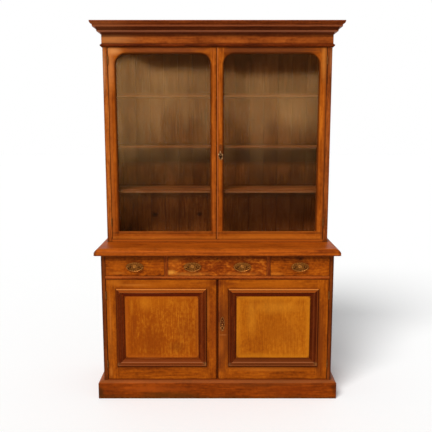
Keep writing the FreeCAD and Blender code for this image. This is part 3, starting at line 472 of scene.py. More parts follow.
dressWood("dividerWood", {
    "light": (158, 76, 20), "middle": (124, 52, 12), "dark": (82, 30, 6), "heart": (0.0, -0.12), "grain": "z",
    "seed": 9.5,
}, "drawer_dividers")
print("carcass dressed")

# ---- cornice ----

dressWood("friezeWood", {
    "light": (184, 97, 34), "middle": (154, 74, 23), "dark": (112, 48, 12), "heart": (2.16, 0.06),
    "grain": "returned", "frame": (0.679, -0.016), "seed": 2.2,
    # The upper dark band is painted shade under the cornice; the spot is a painted highlight on the left end.
    "bands": (
        band("z", 2.192, 2.22, 0.65, (62, 20, 4), soft=0.005),
        band("z", 2.14, 2.157, 0.5, (84, 32, 8), soft=0.004),
    ),
    "spots": (spot(-0.64, 2.18, 0.22, 0.06, 0.6, (192, 122, 66)),),
}, "frieze_boards")
dressWood("corniceWood", {
    "light": (150, 70, 22), "middle": (118, 50, 12), "dark": (72, 26, 6), "heart": (2.2, 0.02),
    "grain": "returned", "frame": (0.699, -0.036), "seed": 5.8, "cloud": 0.3,
    # The dark bands are painted shade, with some dirt, on the members that face down; the light bands and the
    # spot are painted highlights on members that face up and on the left end.
    "bands": (
        band("z", 2.2, 2.2215, 0.65, (58, 20, 5)),
        band("z", 2.218, 2.2265, 0.65, (170, 104, 70)),
        band("z", 2.229, 2.2455, 0.65, (58, 20, 5)),
        band("z", 2.2465, 2.2555, 0.5, (156, 88, 54)),
        band("z", 2.2765, 2.29, 0.4, (150, 78, 40)),
    ),
    "spots": (spot(-0.68, 2.25, 0.22, 0.05, 0.45, (166, 92, 46)),),
}, "cornice_moulding")
dressWood("astragalWood", {
    "light": (134, 56, 12), "middle": (99, 37, 5), "dark": (60, 20, 3), "heart": (2.13, 0.02),
    "grain": "returned", "frame": (0.695, -0.032), "seed": 1.6,
}, "astragal_moulding")
print("cornice dressed")

# ---- glazed doors ----

upperDoorLook = {
    "light": (200, 107, 26), "middle": (160, 76, 13), "dark": (112, 45, 4), "streak": 0.42, "grain": "framed",
}
railEdges = (
    band("z", 0.9525, 0.972, 0.28, (224, 130, 42), soft=0.003),
    band("z", 0.986, 1.0, 0.45, (92, 44, 16), soft=0.002),
)


# Dirt along the door's outer edge, and painted shade in the moulded edge round the glass and on that edge's
# outer line, not along the lower rail where the moulding faces up.
def glazedDoorRims(node, glass):
    opening = outlineOf(glass, 0.012)
    place = {"corner": 0.062, "outside": True, "above": 1.0}
    return (rim(outlineOf(node), 0.004, 0.65, grime),
            rim(opening, 0.006, 0.8, (72, 30, 5), start=0.012, ragged=0.4, **place),
            rim(opening, 0.003, 0.6, (24, 10, 4), start=-0.001, ragged=0.2, **place))


dressWood("upperLeftDoorWood", {
    **upperDoorLook, "heart": (0.4, 0.05),
    "frame": stilesOf("upper_left_door_frame", 0.042), "seed": 3.7,
    "rims": glazedDoorRims("upper_left_door_frame", "upper_left_glass"),
    "bands": (
        *railEdges,
        band("x", -0.664, -0.645, 0.2, (190, 108, 46), soft=0.004),
        band("x", -0.028, -0.018, 0.35, (184, 96, 34), soft=0.004),
    ),
    "spots": (
        spot(-0.33, 2.118, 0.4, 0.034, 0.75, (120, 60, 30), soft=0.6),
        spot(-0.648, 1.5, 0.034, 0.6, 0.35, (140, 62, 12)),
        spot(-0.36, 0.972, 0.34, 0.02, 0.5, (178, 88, 26), soft=0.7),
        spot(-0.63, 2.11, 0.08, 0.036, 0.65, (228, 152, 86)),
        spot(-0.652, 2.02, 0.04, 0.2, 0.5, (216, 134, 70)),
        # Painted shade in the top corner of the glass opening.
        spot(-0.072, 2.08, 0.06, 0.034, 0.5, (84, 34, 6), soft=0.8),
    ),
}, "upper_left_door_frame")
dressWood("upperRightDoorWood", {
    **upperDoorLook, "heart": (0.4, 0.06),
    "frame": stilesOf("upper_right_door_frame", 0.045), "seed": 9.1,
    "rims": glazedDoorRims("upper_right_door_frame", "upper_right_glass"),
    "spots": (
        spot(0.33, 0.978, 0.36, 0.028, 0.7, (196, 104, 24), soft=0.7),
        spot(0.33, 2.118, 0.4, 0.034, 0.85, (100, 50, 24), soft=0.6),
        spot(0.65, 2.06, 0.03, 0.2, 0.55, (208, 126, 48)),
        # Painted shade in the top corner of the glass opening.
        spot(0.048, 2.08, 0.03, 0.035, 0.4, (84, 34, 6), soft=0.8),
        spot(0.014, 1.36, 0.014, 0.17, 0.4, (214, 114, 28)),
        spot(0.012, 1.8, 0.014, 0.18, 0.4, (214, 118, 44)),
    ),
    "bands": (
        *railEdges,
        band("x", -0.0005, 0.0035, 0.4, (200, 120, 76), soft=0.001, wander=0.0),
        band("x", 0.652, 0.69, 0.55, (126, 60, 20), soft=0.005),
    ),
}, "upper_right_door_frame")
dressWood("glazingBeadWood", {
    "light": (150, 80, 30), "middle": (112, 54, 18), "dark": (66, 28, 8), "grain": "mitred",
    "frame": outlineOf("upper_left_glazing_beads"),
}, "upper_left_glazing_beads", "upper_right_glazing_beads")

# A warm film on the glass, partly haze and partly a painted reflection, thicker higher up; the patches make
# it thicker or thinner in broad places.
hazeAndReflectionGlass = {
    "hazeAndReflection": (188, 134, 66),
    "thickestHazeAndReflection": 0.185,                  # how much haze and painted reflection there is at its thickest
    "hazeAndReflectionFoot": 0.01,
    "hazeAndReflectionHead": 0.08,
    "risesFrom": (1.15, 1.5),       # heights between which the haze and painted reflection set in
    "thickensFrom": (1.42, 1.78),
    "clearsFrom": (1.93, 2.01),
    "leftStile": (-0.52, -0.38),    # more haze and painted reflection lie beside the left stile
    "smears": 1.9,
    "smearSize": 5.0,
    "wipes": 1.2,
    "wipeSize": 7.0,
    "waves": 9.0,
    "waveDepth": 0.002,
    "hazeAndReflectionPatches": (
        spot(0.47, 1.76, 0.2, 0.16, 0.55),
        spot(-0.38, 1.88, 0.24, 0.18, 0.45),
        spot(-0.2, 1.6, 0.26, 0.14, -0.4),
        spot(0.1, 1.62, 0.16, 0.15, -0.4),
    ),
}


def glassFinish(name, look):
    finish = Finish(bpy.data.materials.new(name))
    x, y, z = finish.place()
    ripple = finish.noise(finish.vector(x, y, z * 0.5), look["waves"], 2.0)
    smear = finish.noise(finish.vector(x, y, z * 0.6), look["smearSize"], 4.0, 0.6)
    wipe = finish.noise(finish.vector(x * 3.0, y, z * 0.35), look["wipeSize"], 3.0, 0.6)
    outer = finish.ease(x, *look["leftStile"], 1.0, 0.0)
    height = z + (smear - 0.5) * 0.3 + outer * 0.1
    # Haze and painted reflection, thickening upwards and clearing near the head.
    hazeAndReflection = finish.ease(height, *look["risesFrom"], look["hazeAndReflectionFoot"], look["thickestHazeAndReflection"] * 0.2)
    hazeAndReflection = hazeAndReflection + finish.ease(height, *look["thickensFrom"], 0.0, look["thickestHazeAndReflection"] * 0.8)
    headPlace = z + (smear - 0.5) * 0.1 - outer * 0.05 - finish.ease(x, -0.1, 0.1, 0.035, 0.0)
    hazeAndReflection = hazeAndReflection * finish.ease(headPlace, *look["clearsFrom"], 1.0, look["hazeAndReflectionHead"])
    for patch in look["hazeAndReflectionPatches"]:
        hazeAndReflection = hazeAndReflection * (spotMask(finish, x, y, z, wipe, patch) + 1.0)
    side = finish.ease(x, -0.5, 0.6, 1.06, 0.84) * finish.ease(abs(x), 0.05, 0.26, 0.75, 1.0)
    uneven = (smear - 0.5) * look["smears"] + (wipe - 0.5) * look["wipes"] + 1.0
    finish.set(colour=tint(*look["hazeAndReflection"]), roughness=smear * 0.1 + 0.02, ior=1.6,
               alpha=uneven * hazeAndReflection * side, normal=finish.bump(ripple, look["waveDepth"], 0.25))
    return finish


dress(glassFinish("hazeAndReflectionGlass", hazeAndReflectionGlass), "upper_left_glass", "upper_right_glass")
print("glazed doors dressed")

# ---- inside ----

insideLook = {"light": (170, 98, 46), "middle": (134, 71, 28), "dark": (88, 42, 15)}
shelfFeet = (1.246, 1.518, 1.842)
backJoints = {
    "first": 0.04025,           # from the node's edge to the first joint
    "width": 0.094,             # of one board
    "gap": 0.0024,
    "front": 0.269,             # the tongue's front, its depth and its width
    "deep": 0.004,
    "wide": 0.0016,
    "edge": 0.0002,
}


# Where the joints between a node's upright boards are, from left to right.
def jointPlaces(node):
    low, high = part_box(node)
    count = math.ceil((high.x - low.x - 2 * backJoints["first"]) / backJoints["width"])
    return [low.x + backJoints["first"] + backJoints["width"] * number for number in range(count)]


def dressBackBoards(name, node, spots=(), shades=()):
    joints = jointPlaces(node)
    half = backJoints["gap"] / 2
    lines = [band("x", x - half, x + half, 0.8, (30, 14, 6), soft=0.0006, wander=0.0) for x in joints]
    dressWood(name, {
        **insideLook, "grain": "boards", "frame": (joints[0], backJoints["width"]), "heart": (-0.2, 0.4),
        "seed": 13.51, "bands": (*lines, *shades), "spots": spots,
    }, node)


dressBackBoards(
    "upperBackWood", "upper_back_boards",
    spots=(
        spot(0.36, 1.1, 0.42, 0.36, 0.5, (72, 32, 12), soft=0.6, before=0.267),
        # Painted shade, with some dirt, under the roof.
        spot(0.0, 2.13, 0.9, 0.18, 0.65, (50, 30, 16), soft=0.7, ragged=0.2, before=0.267),
        spot(-0.423, 1.066, 0.032, 0.022, 0.75, (34, 14, 5), soft=0.8, ragged=0.3),
        spot(-0.121, 1.07, 0.03, 0.021, 0.75, (34, 14, 5), soft=0.8, ragged=0.3),
    ),
    shades=(
        band("z", 1.41, 1.54, 0.8, (34, 16, 7), soft=0.03, wander=0.02, before=0.267),
        band("z", 1.185, 1.27, 0.5, (34, 14, 6), soft=0.025, wander=0.02, before=0.267),
    ),
)
dressBackBoards("baseBackWood", "base_back_boards")
dressWood("shelfWood", {
    **insideLook, "heart": (0.0, 0.2), "seed": 7.0,
    "bands": (
        band("y", 0.0, 0.0135, 0.85, (98, 52, 24), soft=0.0006, wander=0.0),
        # A painted highlight along the foot of each shelf's front edge, and painted shade on the lower part
        # of the second shelf's front edge.
        *(band("z", foot, foot + 0.004, 0.6, (176, 112, 66), soft=0.001, wander=0.0005, before=0.0125)
          for foot in shelfFeet),
        band("z", 1.51, 1.527, 0.8, (40, 18, 8), soft=0.002, wander=0.0005, before=0.0125),
    ),
}, "book_shelves", "cupboard_shelf", "upper_roof")
dressWood("caseFloorWood", {
    **insideLook, "heart": (0.9, 0.3), "seed": 3.0,
    "bands": (band("y", -0.4, 0.004, 0.95, (184, 90, 24), soft=0.004),),
}, "upper_floor")
dressWood("cupboardFloorWood", {
    **insideLook, "heart": (0.1, 0.3), "seed": 8.0,
    "bands": (band("y", -0.4, -0.222, 0.95, (128, 54, 12), soft=0.004),),
}, "base_floor")
hiddenLook = {"light": (170, 118, 66), "middle": (140, 92, 48), "dark": (96, 58, 28), "specular": 0.05}
dressWood("battenWood", {**hiddenLook, "grain": "y", "seed": 1.1}, "cupboard_bearers", "drawer_runners")
dressWood("blockWood", {**hiddenLook, "seed": 2.1}, "plinth_backing", "dust_board")
dressWood("drawerBoxWood", {
    "light": (192, 142, 86), "middle": (164, 114, 64), "dark": (120, 76, 38), "specular": 0.05, "grain": "y",
    "seed": 6.6,
}, "left_drawer_box", "centre_drawer_box", "right_drawer_box")


# Loose tongues close the joints between the back boards.
def makeTongues():
    deep, wide, edge = backJoints["deep"], backJoints["wide"], backJoints["edge"]
    shape = bmesh.new()
    for node in ("upper_back_boards", "base_back_boards"):
        low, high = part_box(node)
        for x in jointPlaces(node):
            place = Matrix.Translation((x, backJoints["front"] + deep / 2, (low.z + high.z) / 2))
            size = Matrix.Diagonal((wide, deep, high.z - low.z - 2 * edge, 1.0))
            made = bmesh.ops.create_cube(shape, size=1.0, matrix=place @ size)
            bmesh.ops.bevel(shape, geom=edgesOf(made["verts"]), offset=edge, affect="EDGES", segments=1,
                            profile=0.5, material=-1)
    return shape


tongueWood = {
    "light": (96, 52, 24), "middle": (60, 30, 14), "dark": (34, 16, 8), "specular": 0.02, "grain": "z",
}
finishPiece("back_board_tongues", makeTongues(), woodFinish("tongueWood", tongueWood), "carcass")
print("inside dressed")

# ---- drawers ----

drawerLook = {"light": (182, 91, 13), "middle": (147, 66, 6), "dark": (98, 37, 3), "streak": 0.28,
              "mottle": 0.55, "cloud": 0.5, "cloudSize": 16.0}
# Painted shade from the waist ledge on the tops of the drawer fronts.
underLedgeShade = (band("z", 0.876, 0.95, 0.7, (72, 26, 4), soft=0.02, wander=0.02),)
pullPlaces = {"left": -0.497, "centreLeft": -0.15, "centreRight": 0.15, "right": 0.497}


def pullStain(x):  # hands have darkened the wood round each pull
    return spot(x, 0.835, 0.085, 0.055, 0.55, (92, 36, 6), soft=0.8)


def drawerRims(node):
    return (rim(outlineOf(node), 0.0035, 0.55, grime),)


dressWood("leftDrawerWood", {
    **drawerLook, "heart": (0.78, -0.16), "seed": 2.9, "rims": drawerRims("left_drawer_front"),
    "bands": underLedgeShade,
    "spots": (
        pullStain(pullPlaces["left"]),
        spot(-0.6, 0.825, 0.08, 0.05, 0.6, (176, 86, 12)),
        spot(-0.36, 0.835, 0.06, 0.05, 0.45, (138, 58, 7)),
        spot(-0.6, 0.786, 0.07, 0.012, 0.55, (198, 108, 28)),
    ),
}, "left_drawer_front")
dressWood("rightDrawerWood", {
    **drawerLook, "heart": (0.9, -0.15), "seed": 8.3, "rims": drawerRims("right_drawer_front"),
    "bands": underLedgeShade,
    "spots": (
        pullStain(pullPlaces["right"]),
        spot(0.497, 0.878, 0.03, 0.02, 0.7, (60, 24, 6), soft=0.7),
        spot(0.335, 0.815, 0.065, 0.034, 0.35, (204, 106, 18)),
        spot(0.35, 0.782, 0.075, 0.014, 0.55, (216, 120, 32)),
        spot(0.44, 0.808, 0.03, 0.025, 0.5, (112, 46, 6)),
    ),
}, "right_drawer_front")
dressWood("burrWood", {
    "light": (196, 104, 24), "middle": (142, 60, 7), "dark": (90, 32, 4),
    "heart": (0.8, -0.22), "rings": 90.0, "warp": 0.12, "figure": 0.08, "streak": 0.22, "cloud": 0.55,
    "cloudSize": 36.0, "mottle": 0.55, "seed": 12.7, "rims": drawerRims("centre_drawer_front"),
    "bands": underLedgeShade,
    "spots": (
        spot(-0.262, 0.846, 0.06, 0.07, 0.45, (194, 100, 20), ragged=1.4),
        spot(-0.28, 0.79, 0.05, 0.022, 0.75, (222, 144, 52), soft=0.8, ragged=1.2),
        spot(-0.17, 0.78, 0.16, 0.018, 0.45, (206, 126, 46), ragged=1.4),
        spot(0.14, 0.782, 0.15, 0.016, 0.45, (200, 112, 36), ragged=1.4),
        spot(0.01, 0.872, 0.12, 0.022, 0.45, (112, 44, 8), ragged=1.2),
        spot(-0.165, 0.783, 0.05, 0.012, 0.35, (112, 44, 7)),
        spot(0.124, 0.79, 0.045, 0.024, 0.35, (112, 44, 7)),
        spot(-0.236, 0.88, 0.06, 0.014, 0.45, (176, 88, 22)),
        spot(0.0, 0.825, 0.09, 0.045, 0.4, (112, 42, 6), ragged=1.2),
        pullStain(pullPlaces["centreLeft"]),
        pullStain(pullPlaces["centreRight"]),
    ),
}, "centre_drawer_front")
print("drawers dressed")

# ---- panelled doors ----

baseDoorLook = {
    "light": (186, 97, 14), "middle": (152, 71, 6), "dark": (104, 41, 2), "streak": 0.42, "grain": "framed",
    "heart": (0.5, -0.16),
}
# Painted shade in the groove between the meeting stiles, and a painted highlight on the right door's bead.
meetingShade = band("x", -0.0085, 0.0085, 0.7, (88, 26, 2), soft=0.002, wander=0.003)
meetingHighlight = band("x", 0.0105, 0.015, 0.18, (164, 98, 52), soft=0.001, wander=0.001)
meetingTop = spot(0.0, 0.724, 0.06, 0.034, 0.75, (92, 32, 5), soft=0.8)


# Dirt along the door's outer edge; painted shade round the panel moulding, weaker along its top, and a darker
# line of it at the moulding's edge.
def doorRims(door, moulding):
    middleX, middleZ, halfX, halfZ = outlineOf(moulding)
    lowered = (middleX, middleZ - 0.006, halfX, halfZ)
    return (rim(outlineOf(door), 0.004, 0.6, grime),
            rim(lowered, 0.02, 0.45, (96, 40, 6), start=0.001, ragged=0.8, outside=True),
            rim(lowered, 0.005, 0.6, (62, 20, 2), ragged=0.4, outside=True))


dressWood("baseLeftDoorWood", {
    **baseDoorLook, "frame": stilesOf("base_left_door_frame", 0.068), "seed": 4.9,
    "rims": doorRims("base_left_door_frame", "base_left_panel_moulding"), "bands": (meetingShade,),
    "spots": (
        spot(-0.34, 0.71, 0.33, 0.05, 0.6, (164, 80, 9), soft=0.8),
        spot(-0.022, 0.43, 0.04, 0.36, 0.5, (124, 50, 10)),
        meetingTop,
        spot(-0.655, 0.42, 0.032, 0.34, 0.4, (168, 90, 20)),
        # A painted highlight on the stile beside the moulding.
        spot(-0.058, 0.55, 0.012, 0.2, 0.45, (214, 118, 38)),
        spot(-0.62, 0.728, 0.07, 0.034, 0.4, (208, 116, 28)),
        spot(-0.49, 0.712, 0.15, 0.012, 0.3, (220, 130, 46)),
        spot(-0.652, 0.52, 0.008, 0.24, 0.4, (200, 112, 38)),
        spot(-0.655, 0.16, 0.014, 0.05, 0.45, (206, 118, 36)),
        spot(-0.105, 0.726, 0.07, 0.02, 0.5, (116, 46, 7)),
        spot(-0.598, 0.33, 0.02, 0.11, 0.65, (84, 50, 8), soft=0.8),
    ),
}, "base_left_door_frame")
dressWood("baseRightDoorWood", {
    **baseDoorLook, "frame": stilesOf("base_right_door_frame", 0.068), "seed": 7.2,
    "rims": doorRims("base_right_door_frame", "base_right_panel_moulding"),
    "bands": (meetingShade, meetingHighlight),
    "spots": (
        spot(0.34, 0.71, 0.33, 0.05, 0.6, (174, 88, 10), soft=0.8),
        spot(0.3, 0.18, 0.3, 0.025, 0.6, (184, 100, 24), soft=0.8),
        spot(0.033, 0.42, 0.055, 0.4, 0.75, (112, 50, 12), soft=0.7),
        spot(0.01, 0.51, 0.008, 0.06, 0.7, (80, 26, 4), soft=0.6),
        spot(0.012, 0.21, 0.01, 0.07, 0.7, (80, 26, 4), soft=0.6),
        spot(0.026, 0.33, 0.022, 0.09, 0.35, (188, 96, 22)),
        spot(0.022, 0.5, 0.034, 0.105, 0.45, (86, 32, 5)),
        spot(0.076, 0.722, 0.07, 0.022, 0.5, (112, 44, 7)),
        spot(0.617, 0.22, 0.04, 0.1, 0.65, (98, 38, 6)),
        meetingTop,
        spot(0.63, 0.38, 0.055, 0.36, 0.8, (116, 50, 8)),
        spot(0.036, 0.398, 0.032, 0.0035, 0.6, (176, 104, 50), soft=0.5, ragged=0.1, before=-0.23),
    ),
}, "base_right_door_frame")
panelLook = {"light": (204, 120, 22), "dark": (130, 56, 4), "rings": 120.0, "warp": 0.06, "streak": 0.15,
             "fibre": 0.35, "figure": 0.06, "cloud": 0.4, "cloudSize": 3.5, "mottle": 0.28}


def panelRim(node, width, colour, share):
    border = outlineOf(node, 0.049)
    return (rim(border, width, share, colour, before=-0.2335),
            rim(border, 0.007, 0.65, (98, 36, 4), corner=0.02, ragged=0.5, footToo=True, before=-0.2335))


dressWood("baseLeftPanelWood", {
    **panelLook, "middle": (153, 70, 4), "grain": "z", "heart": (-0.42, -0.1), "seed": 2.4,
    "rims": panelRim("base_left_panel_moulding", 0.03, (182, 92, 20), 0.5),
    "spots": (
        spot(-0.4, 0.36, 0.12, 0.2, 0.45, (126, 52, 4), ragged=1.2),
        spot(-0.51, 0.44, 0.025, 0.14, 0.5, (128, 52, 5), soft=0.8, ragged=1.2),
        spot(-0.36, 0.6, 0.22, 0.06, 0.4, (184, 98, 10)),
        spot(-0.44, 0.6, 0.06, 0.09, 0.4, (206, 120, 22), ragged=1.2),
        spot(-0.25, 0.32, 0.08, 0.06, 0.55, (112, 44, 4), ragged=1.2),
        spot(-0.19, 0.42, 0.1, 0.15, 0.4, (124, 50, 5), ragged=1.2),
        spot(-0.126, 0.42, 0.016, 0.24, 0.55, (100, 38, 4), soft=0.8),
        spot(-0.524, 0.57, 0.014, 0.08, 0.35, (206, 120, 22), soft=0.8),
        spot(-0.15, 0.64, 0.04, 0.03, 0.5, (92, 36, 5)),
    ),
}, "base_left_panel")
dressWood("baseRightPanelWood", {
    **panelLook, "middle": (171, 90, 8), "grain": "z", "heart": (0.4, -0.08), "seed": 5.6,
    "rims": panelRim("base_right_panel_moulding", 0.04, (202, 122, 22), 0.55),
    "spots": (
        spot(0.37, 0.42, 0.2, 0.2, 0.4, (146, 70, 6), ragged=1.2),
        spot(0.21, 0.5, 0.05, 0.16, 0.3, (208, 130, 30)),
        spot(0.36, 0.57, 0.24, 0.06, 0.3, (216, 138, 34), ragged=1.2),
        spot(0.23, 0.58, 0.014, 0.06, 0.4, (146, 68, 6), ragged=1.2),
        spot(0.45, 0.37, 0.09, 0.15, 0.4, (142, 66, 5), ragged=1.2),
        spot(0.126, 0.3, 0.016, 0.1, 0.6, (110, 44, 4), soft=0.8),
        spot(0.148, 0.63, 0.04, 0.016, 0.6, (104, 42, 5), soft=0.8),
    ),
}, "base_right_panel")


# Painted highlights and painted shade, with some dirt, in lines along the lengths: from, to, share, colour
# and softness.
mouldingLook = {
    "fromTop": (
        (-0.026, 0.01, 0.8, (174, 87, 25), 0.003),
        (-0.0075, -0.0015, 0.75, (212, 130, 58), 0.001),
        (-0.018, -0.011, 0.5, (134, 54, 10), 0.001),
        (-0.05, -0.031, 0.6, (84, 18, 1), 0.003),
    ),
    "fromFoot": (
        (0.0215, 0.0265, 0.45, (170, 104, 62), 0.001),
        (0.006, 0.01, 0.35, (150, 84, 44), 0.001),
        (-0.01, 0.003, 0.7, (70, 20, 2), 0.001),
    ),
    "fromSides": (
        (0.0, 0.005, 0.6, (66, 20, 2), 0.001),
        (0.006, 0.011, 0.35, (150, 74, 26), 0.001),
        (0.0125, 0.018, 0.5, (70, 20, 2), 0.001),
        (0.025, 0.032, 0.35, (128, 62, 26), 0.001),
        (0.044, 0.05, 0.6, (60, 16, 2), 0.001),
    ),
}


# The upper and lower lengths get painted highlights on their outer halves, lighter than the upright ones.
def dressMoulding(name, node, look):
    low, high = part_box(node)

    def lines(axis, edge, inward, marks, member):
        made = []
        for start, end, share, colour, soft in marks:
            ends = sorted((edge + inward * start, edge + inward * end))
            made.append(band(axis, *ends, share, colour, soft=soft, wander=0.001, member=member))
        return made

    footMarks = ((-0.01, 0.047, 0.75, look["lower"], 0.002), *mouldingLook["fromFoot"])
    bands = lines("z", high.z, 1, mouldingLook["fromTop"], "level")
    bands += lines("z", low.z, 1, footMarks, "level")
    bands += lines("x", low.x, 1, mouldingLook["fromSides"], "upright")
    bands += lines("x", high.x, -1, mouldingLook["fromSides"], "upright")
    half = (high.z + low.z) / 2
    spots = (
        spot(low.x + 0.01, low.z + 0.01, 0.022, 0.022, 0.6, (140, 96, 56), soft=0.8),
        spot(high.x - 0.01, low.z + 0.012, 0.026, 0.024, 0.7, (146, 102, 56), soft=0.8),
        spot(high.x - 0.022, half, 0.04, 0.26, look["rightShade"], (56, 16, 2), soft=0.5, ragged=0.4),
        *look["paintedHighlights"],
    )
    dressWood(name, {
        **look, "cloud": 0.35, "grain": "mitred", "frame": outlineOf(node), "bands": bands, "spots": spots,
    }, node)


dressMoulding("leftMouldingWood", "base_left_panel_moulding", {
    "light": (122, 50, 8), "middle": (97, 34, 3), "dark": (66, 19, 1), "lower": (122, 54, 13), "seed": 3.3,
    "rightShade": 0.1,
    # Painted highlights on the upper and lower lengths.
    "paintedHighlights": (
        spot(-0.44, 0.664, 0.22, 0.009, 0.5, (196, 108, 54), soft=0.8),
        spot(-0.42, 0.25, 0.12, 0.012, 0.6, (172, 98, 46), soft=0.8),
    ),
})
dressMoulding("rightMouldingWood", "base_right_panel_moulding", {
    "light": (112, 44, 7), "middle": (86, 29, 2), "dark": (58, 16, 1), "lower": (106, 48, 13), "seed": 6.3,
    "rightShade": 0.35, "paintedHighlights": (),
})
print("panelled doors dressed")

# ---- brass ----

plainBrass = {
    "base": (164, 122, 60),
    "patina": (58, 38, 18),
    "rough": 0.34,
    "wear": 0.6,
    "blotchSize": 130.0,
    "fineSize": 800.0,
    "relief": 0.0003,
    "hollow": None,             # depths between which dirt sets in
    "holes": (),
}


def brassFinish(name, changes):
    look = {**plainBrass, **changes}
    finish = Finish(bpy.data.materials.new(name))
    x, y, z = finish.place()
    where = finish.vector(x, y, z)
    blotch = finish.noise(where, look["blotchSize"], 4.0, 0.65)
    fine = finish.noise(where, look["fineSize"], 2.0)
    age = finish.ease(blotch + fine * 0.3, 0.48, 0.85)
    if look["hollow"]:
        age = finish.calc("MAXIMUM", age, finish.ease(y, *look["hollow"]))
    share = age * look["wear"]
    for hole in look["holes"]:
        share = finish.calc("MAXIMUM", share, spotMask(finish, x, y, z, blotch, hole))
    finish.set(colour=finish.blend(share, tint(*look["base"]), tint(*look["patina"])), specular=0.05,
               metallic=1.0 - share * 0.5, roughness=share * 0.3 + look["rough"],
               normal=finish.bump(blotch + fine * 0.5, look["relief"], 0.4))
    return finish


dress(brassFinish("upperPlateBrass", {
    "base": (128, 66, 28), "patina": (36, 14, 4),
    "holes": (spot(0.02, 1.476, 0.016, 0.032, 0.95, soft=0.5),),
}), "upper_escutcheon")
dress(brassFinish("basePlateBrass", {"base": (104, 46, 14), "patina": (38, 14, 4), "wear": 0.95}),
      "base_escutcheon")
dress(brassFinish("hingeBrass", {"base": (128, 80, 38), "patina": (80, 44, 18), "rough": 0.5}),
      "carcass_hinge_halves", "upper_left_door_fittings", "upper_right_door_fittings",
      "base_left_door_fittings", "base_right_door_fittings", "upper_slip_bolt", "base_slip_bolt")
dress(brassFinish("boltSteel", {"base": (120, 116, 110), "patina": (60, 50, 42)}),
      "upper_lock_bolt", "base_lock_bolt", "shelf_pins")
dress(brassFinish("bailBrass", {"base": (178, 110, 46), "patina": (78, 42, 14)}),
      "left_drawer_bail", "centre_drawer_bail_left", "centre_drawer_bail_right", "right_drawer_bail")

plateBrass = {"base": (146, 86, 28), "patina": (62, 28, 7), "wear": 0.95}


# The back plates are dark in the hollows beside the shield and under the posts.
def plateFinish(name, *places):
    holes = []
    for x in places:
        for side in (-1, 1):
            holes.append(spot(x + side * 0.0255, 0.8235, 0.0045, 0.008, 1.0, soft=0.4))
            holes.append(spot(x + side * 0.037, 0.812, 0.007, 0.005, 1.0, soft=0.4))
    return brassFinish(name, {**plateBrass, "holes": holes})


dress(plateFinish("leftPlateBrass", pullPlaces["left"]), "left_drawer_fittings")
dress(plateFinish("centrePlateBrass", pullPlaces["centreLeft"], pullPlaces["centreRight"]),
      "centre_drawer_fittings")
dress(plateFinish("rightPlateBrass", pullPlaces["right"]), "right_drawer_fittings")

cordSides = 8


def addBead(shape, x, y, z, radius, wide=1.0, deep=0.8, tall=1.0, turn=0.0):
    place = Matrix.Translation((x, y, z)) @ Matrix.Rotation(turn, 4, "Y")
    stretch = Matrix.Diagonal((wide, deep, tall, 1.0))
    bmesh.ops.create_icosphere(shape, subdivisions=2, radius=radius, matrix=place @ stretch)


# A raised cord that follows an oval or a scroll. Its middle line is (x, z) = path(turn), turn from 0 to 1.
def addCord(shape, path, y, thick, steps, whole=True, deep=0.9):
    rings = []
    for number in range(steps if whole else steps + 1):
        turn = number / steps
        here = Vector(path(turn))
        ahead = Vector(path(turn + 0.002)) - Vector(path(turn - 0.002))
        outward = Vector((ahead.y, -ahead.x)).normalized()
        size = thick
        if not whole:                       # a scroll thins towards its ends
            size = thick * max(0.12, math.sin(math.pi * min(1.0, turn * 0.85 + 0.12)))
        ring = []
        for side in range(cordSides):
            angle = side * 2 * math.pi / cordSides
            offset = outward * math.cos(angle) * size
            place = (here.x + offset.x, y + math.sin(angle) * size * deep, here.y + offset.y)
            ring.append(shape.verts.new(place))
        rings.append(ring)
    for ring, following in zip(rings, rings[1:] + (rings[:1] if whole else [])):
        for side in range(cordSides):
            shape.faces.new((ring[side - 1], ring[side], following[side], following[side - 1]))
    if not whole:
        shape.faces.new(rings[0])
        shape.faces.new(rings[-1])


def oval(x, z, halfX, halfZ, waves=0, depth=0.0):
    def path(turn):
        angle = turn * 2 * math.pi
        swell = 1.0 - depth * (0.5 + 0.5 * math.cos(waves * angle))
        return (x + halfX * swell * math.cos(angle), z + halfZ * swell * math.sin(angle))
    return path


def scroll(x, z, radius, start, sweep, shrink):
    def path(turn):
        angle = math.radians(start + sweep * turn)
        reach = radius * (1.0 - shrink * turn)
        return (x + reach * math.cos(angle), z + reach * math.sin(angle))
    return path


pull = {
    "height": 0.824,
    "face": -0.2455,            # front of the back plate
    "rim": (0.0505, 0.0255),    # half sizes of the scalloped edge
    "lobes": 16,
    "lift": 0.0015,             # how far above the middle the shield sits
    "ring": (0.019, 0.0165),    # the cord round the shield
    "shield": (0.0155, 0.0125),
    "beads": (0.031, 0.019),    # the oval on which the beads lie
    "post": (0.038, 0.002),     # out from the middle and up
    "collar": 0.0066,
    "petals": 0.0088,
    "scroll": (0.027, 0.013, 0.0062, 0.0013),   # out, up, radius and thickness
    "leaves": ((0.012, 0.02, 0.0018, 3.0, 0.45), (0.04, 0.014, 0.0016, 2.4, 0.9)),
    "crest": ((0.0, 0.0235, 0.0022), (-0.0045, 0.0225, 0.0015), (0.0045, 0.0225, 0.0015)),
    "brass": {"base": (190, 120, 50), "patina": (60, 28, 8), "wear": 0.8, "hollow": (-0.2474, -0.246)},
}
castBrass = brassFinish("castBrass", pull["brass"])


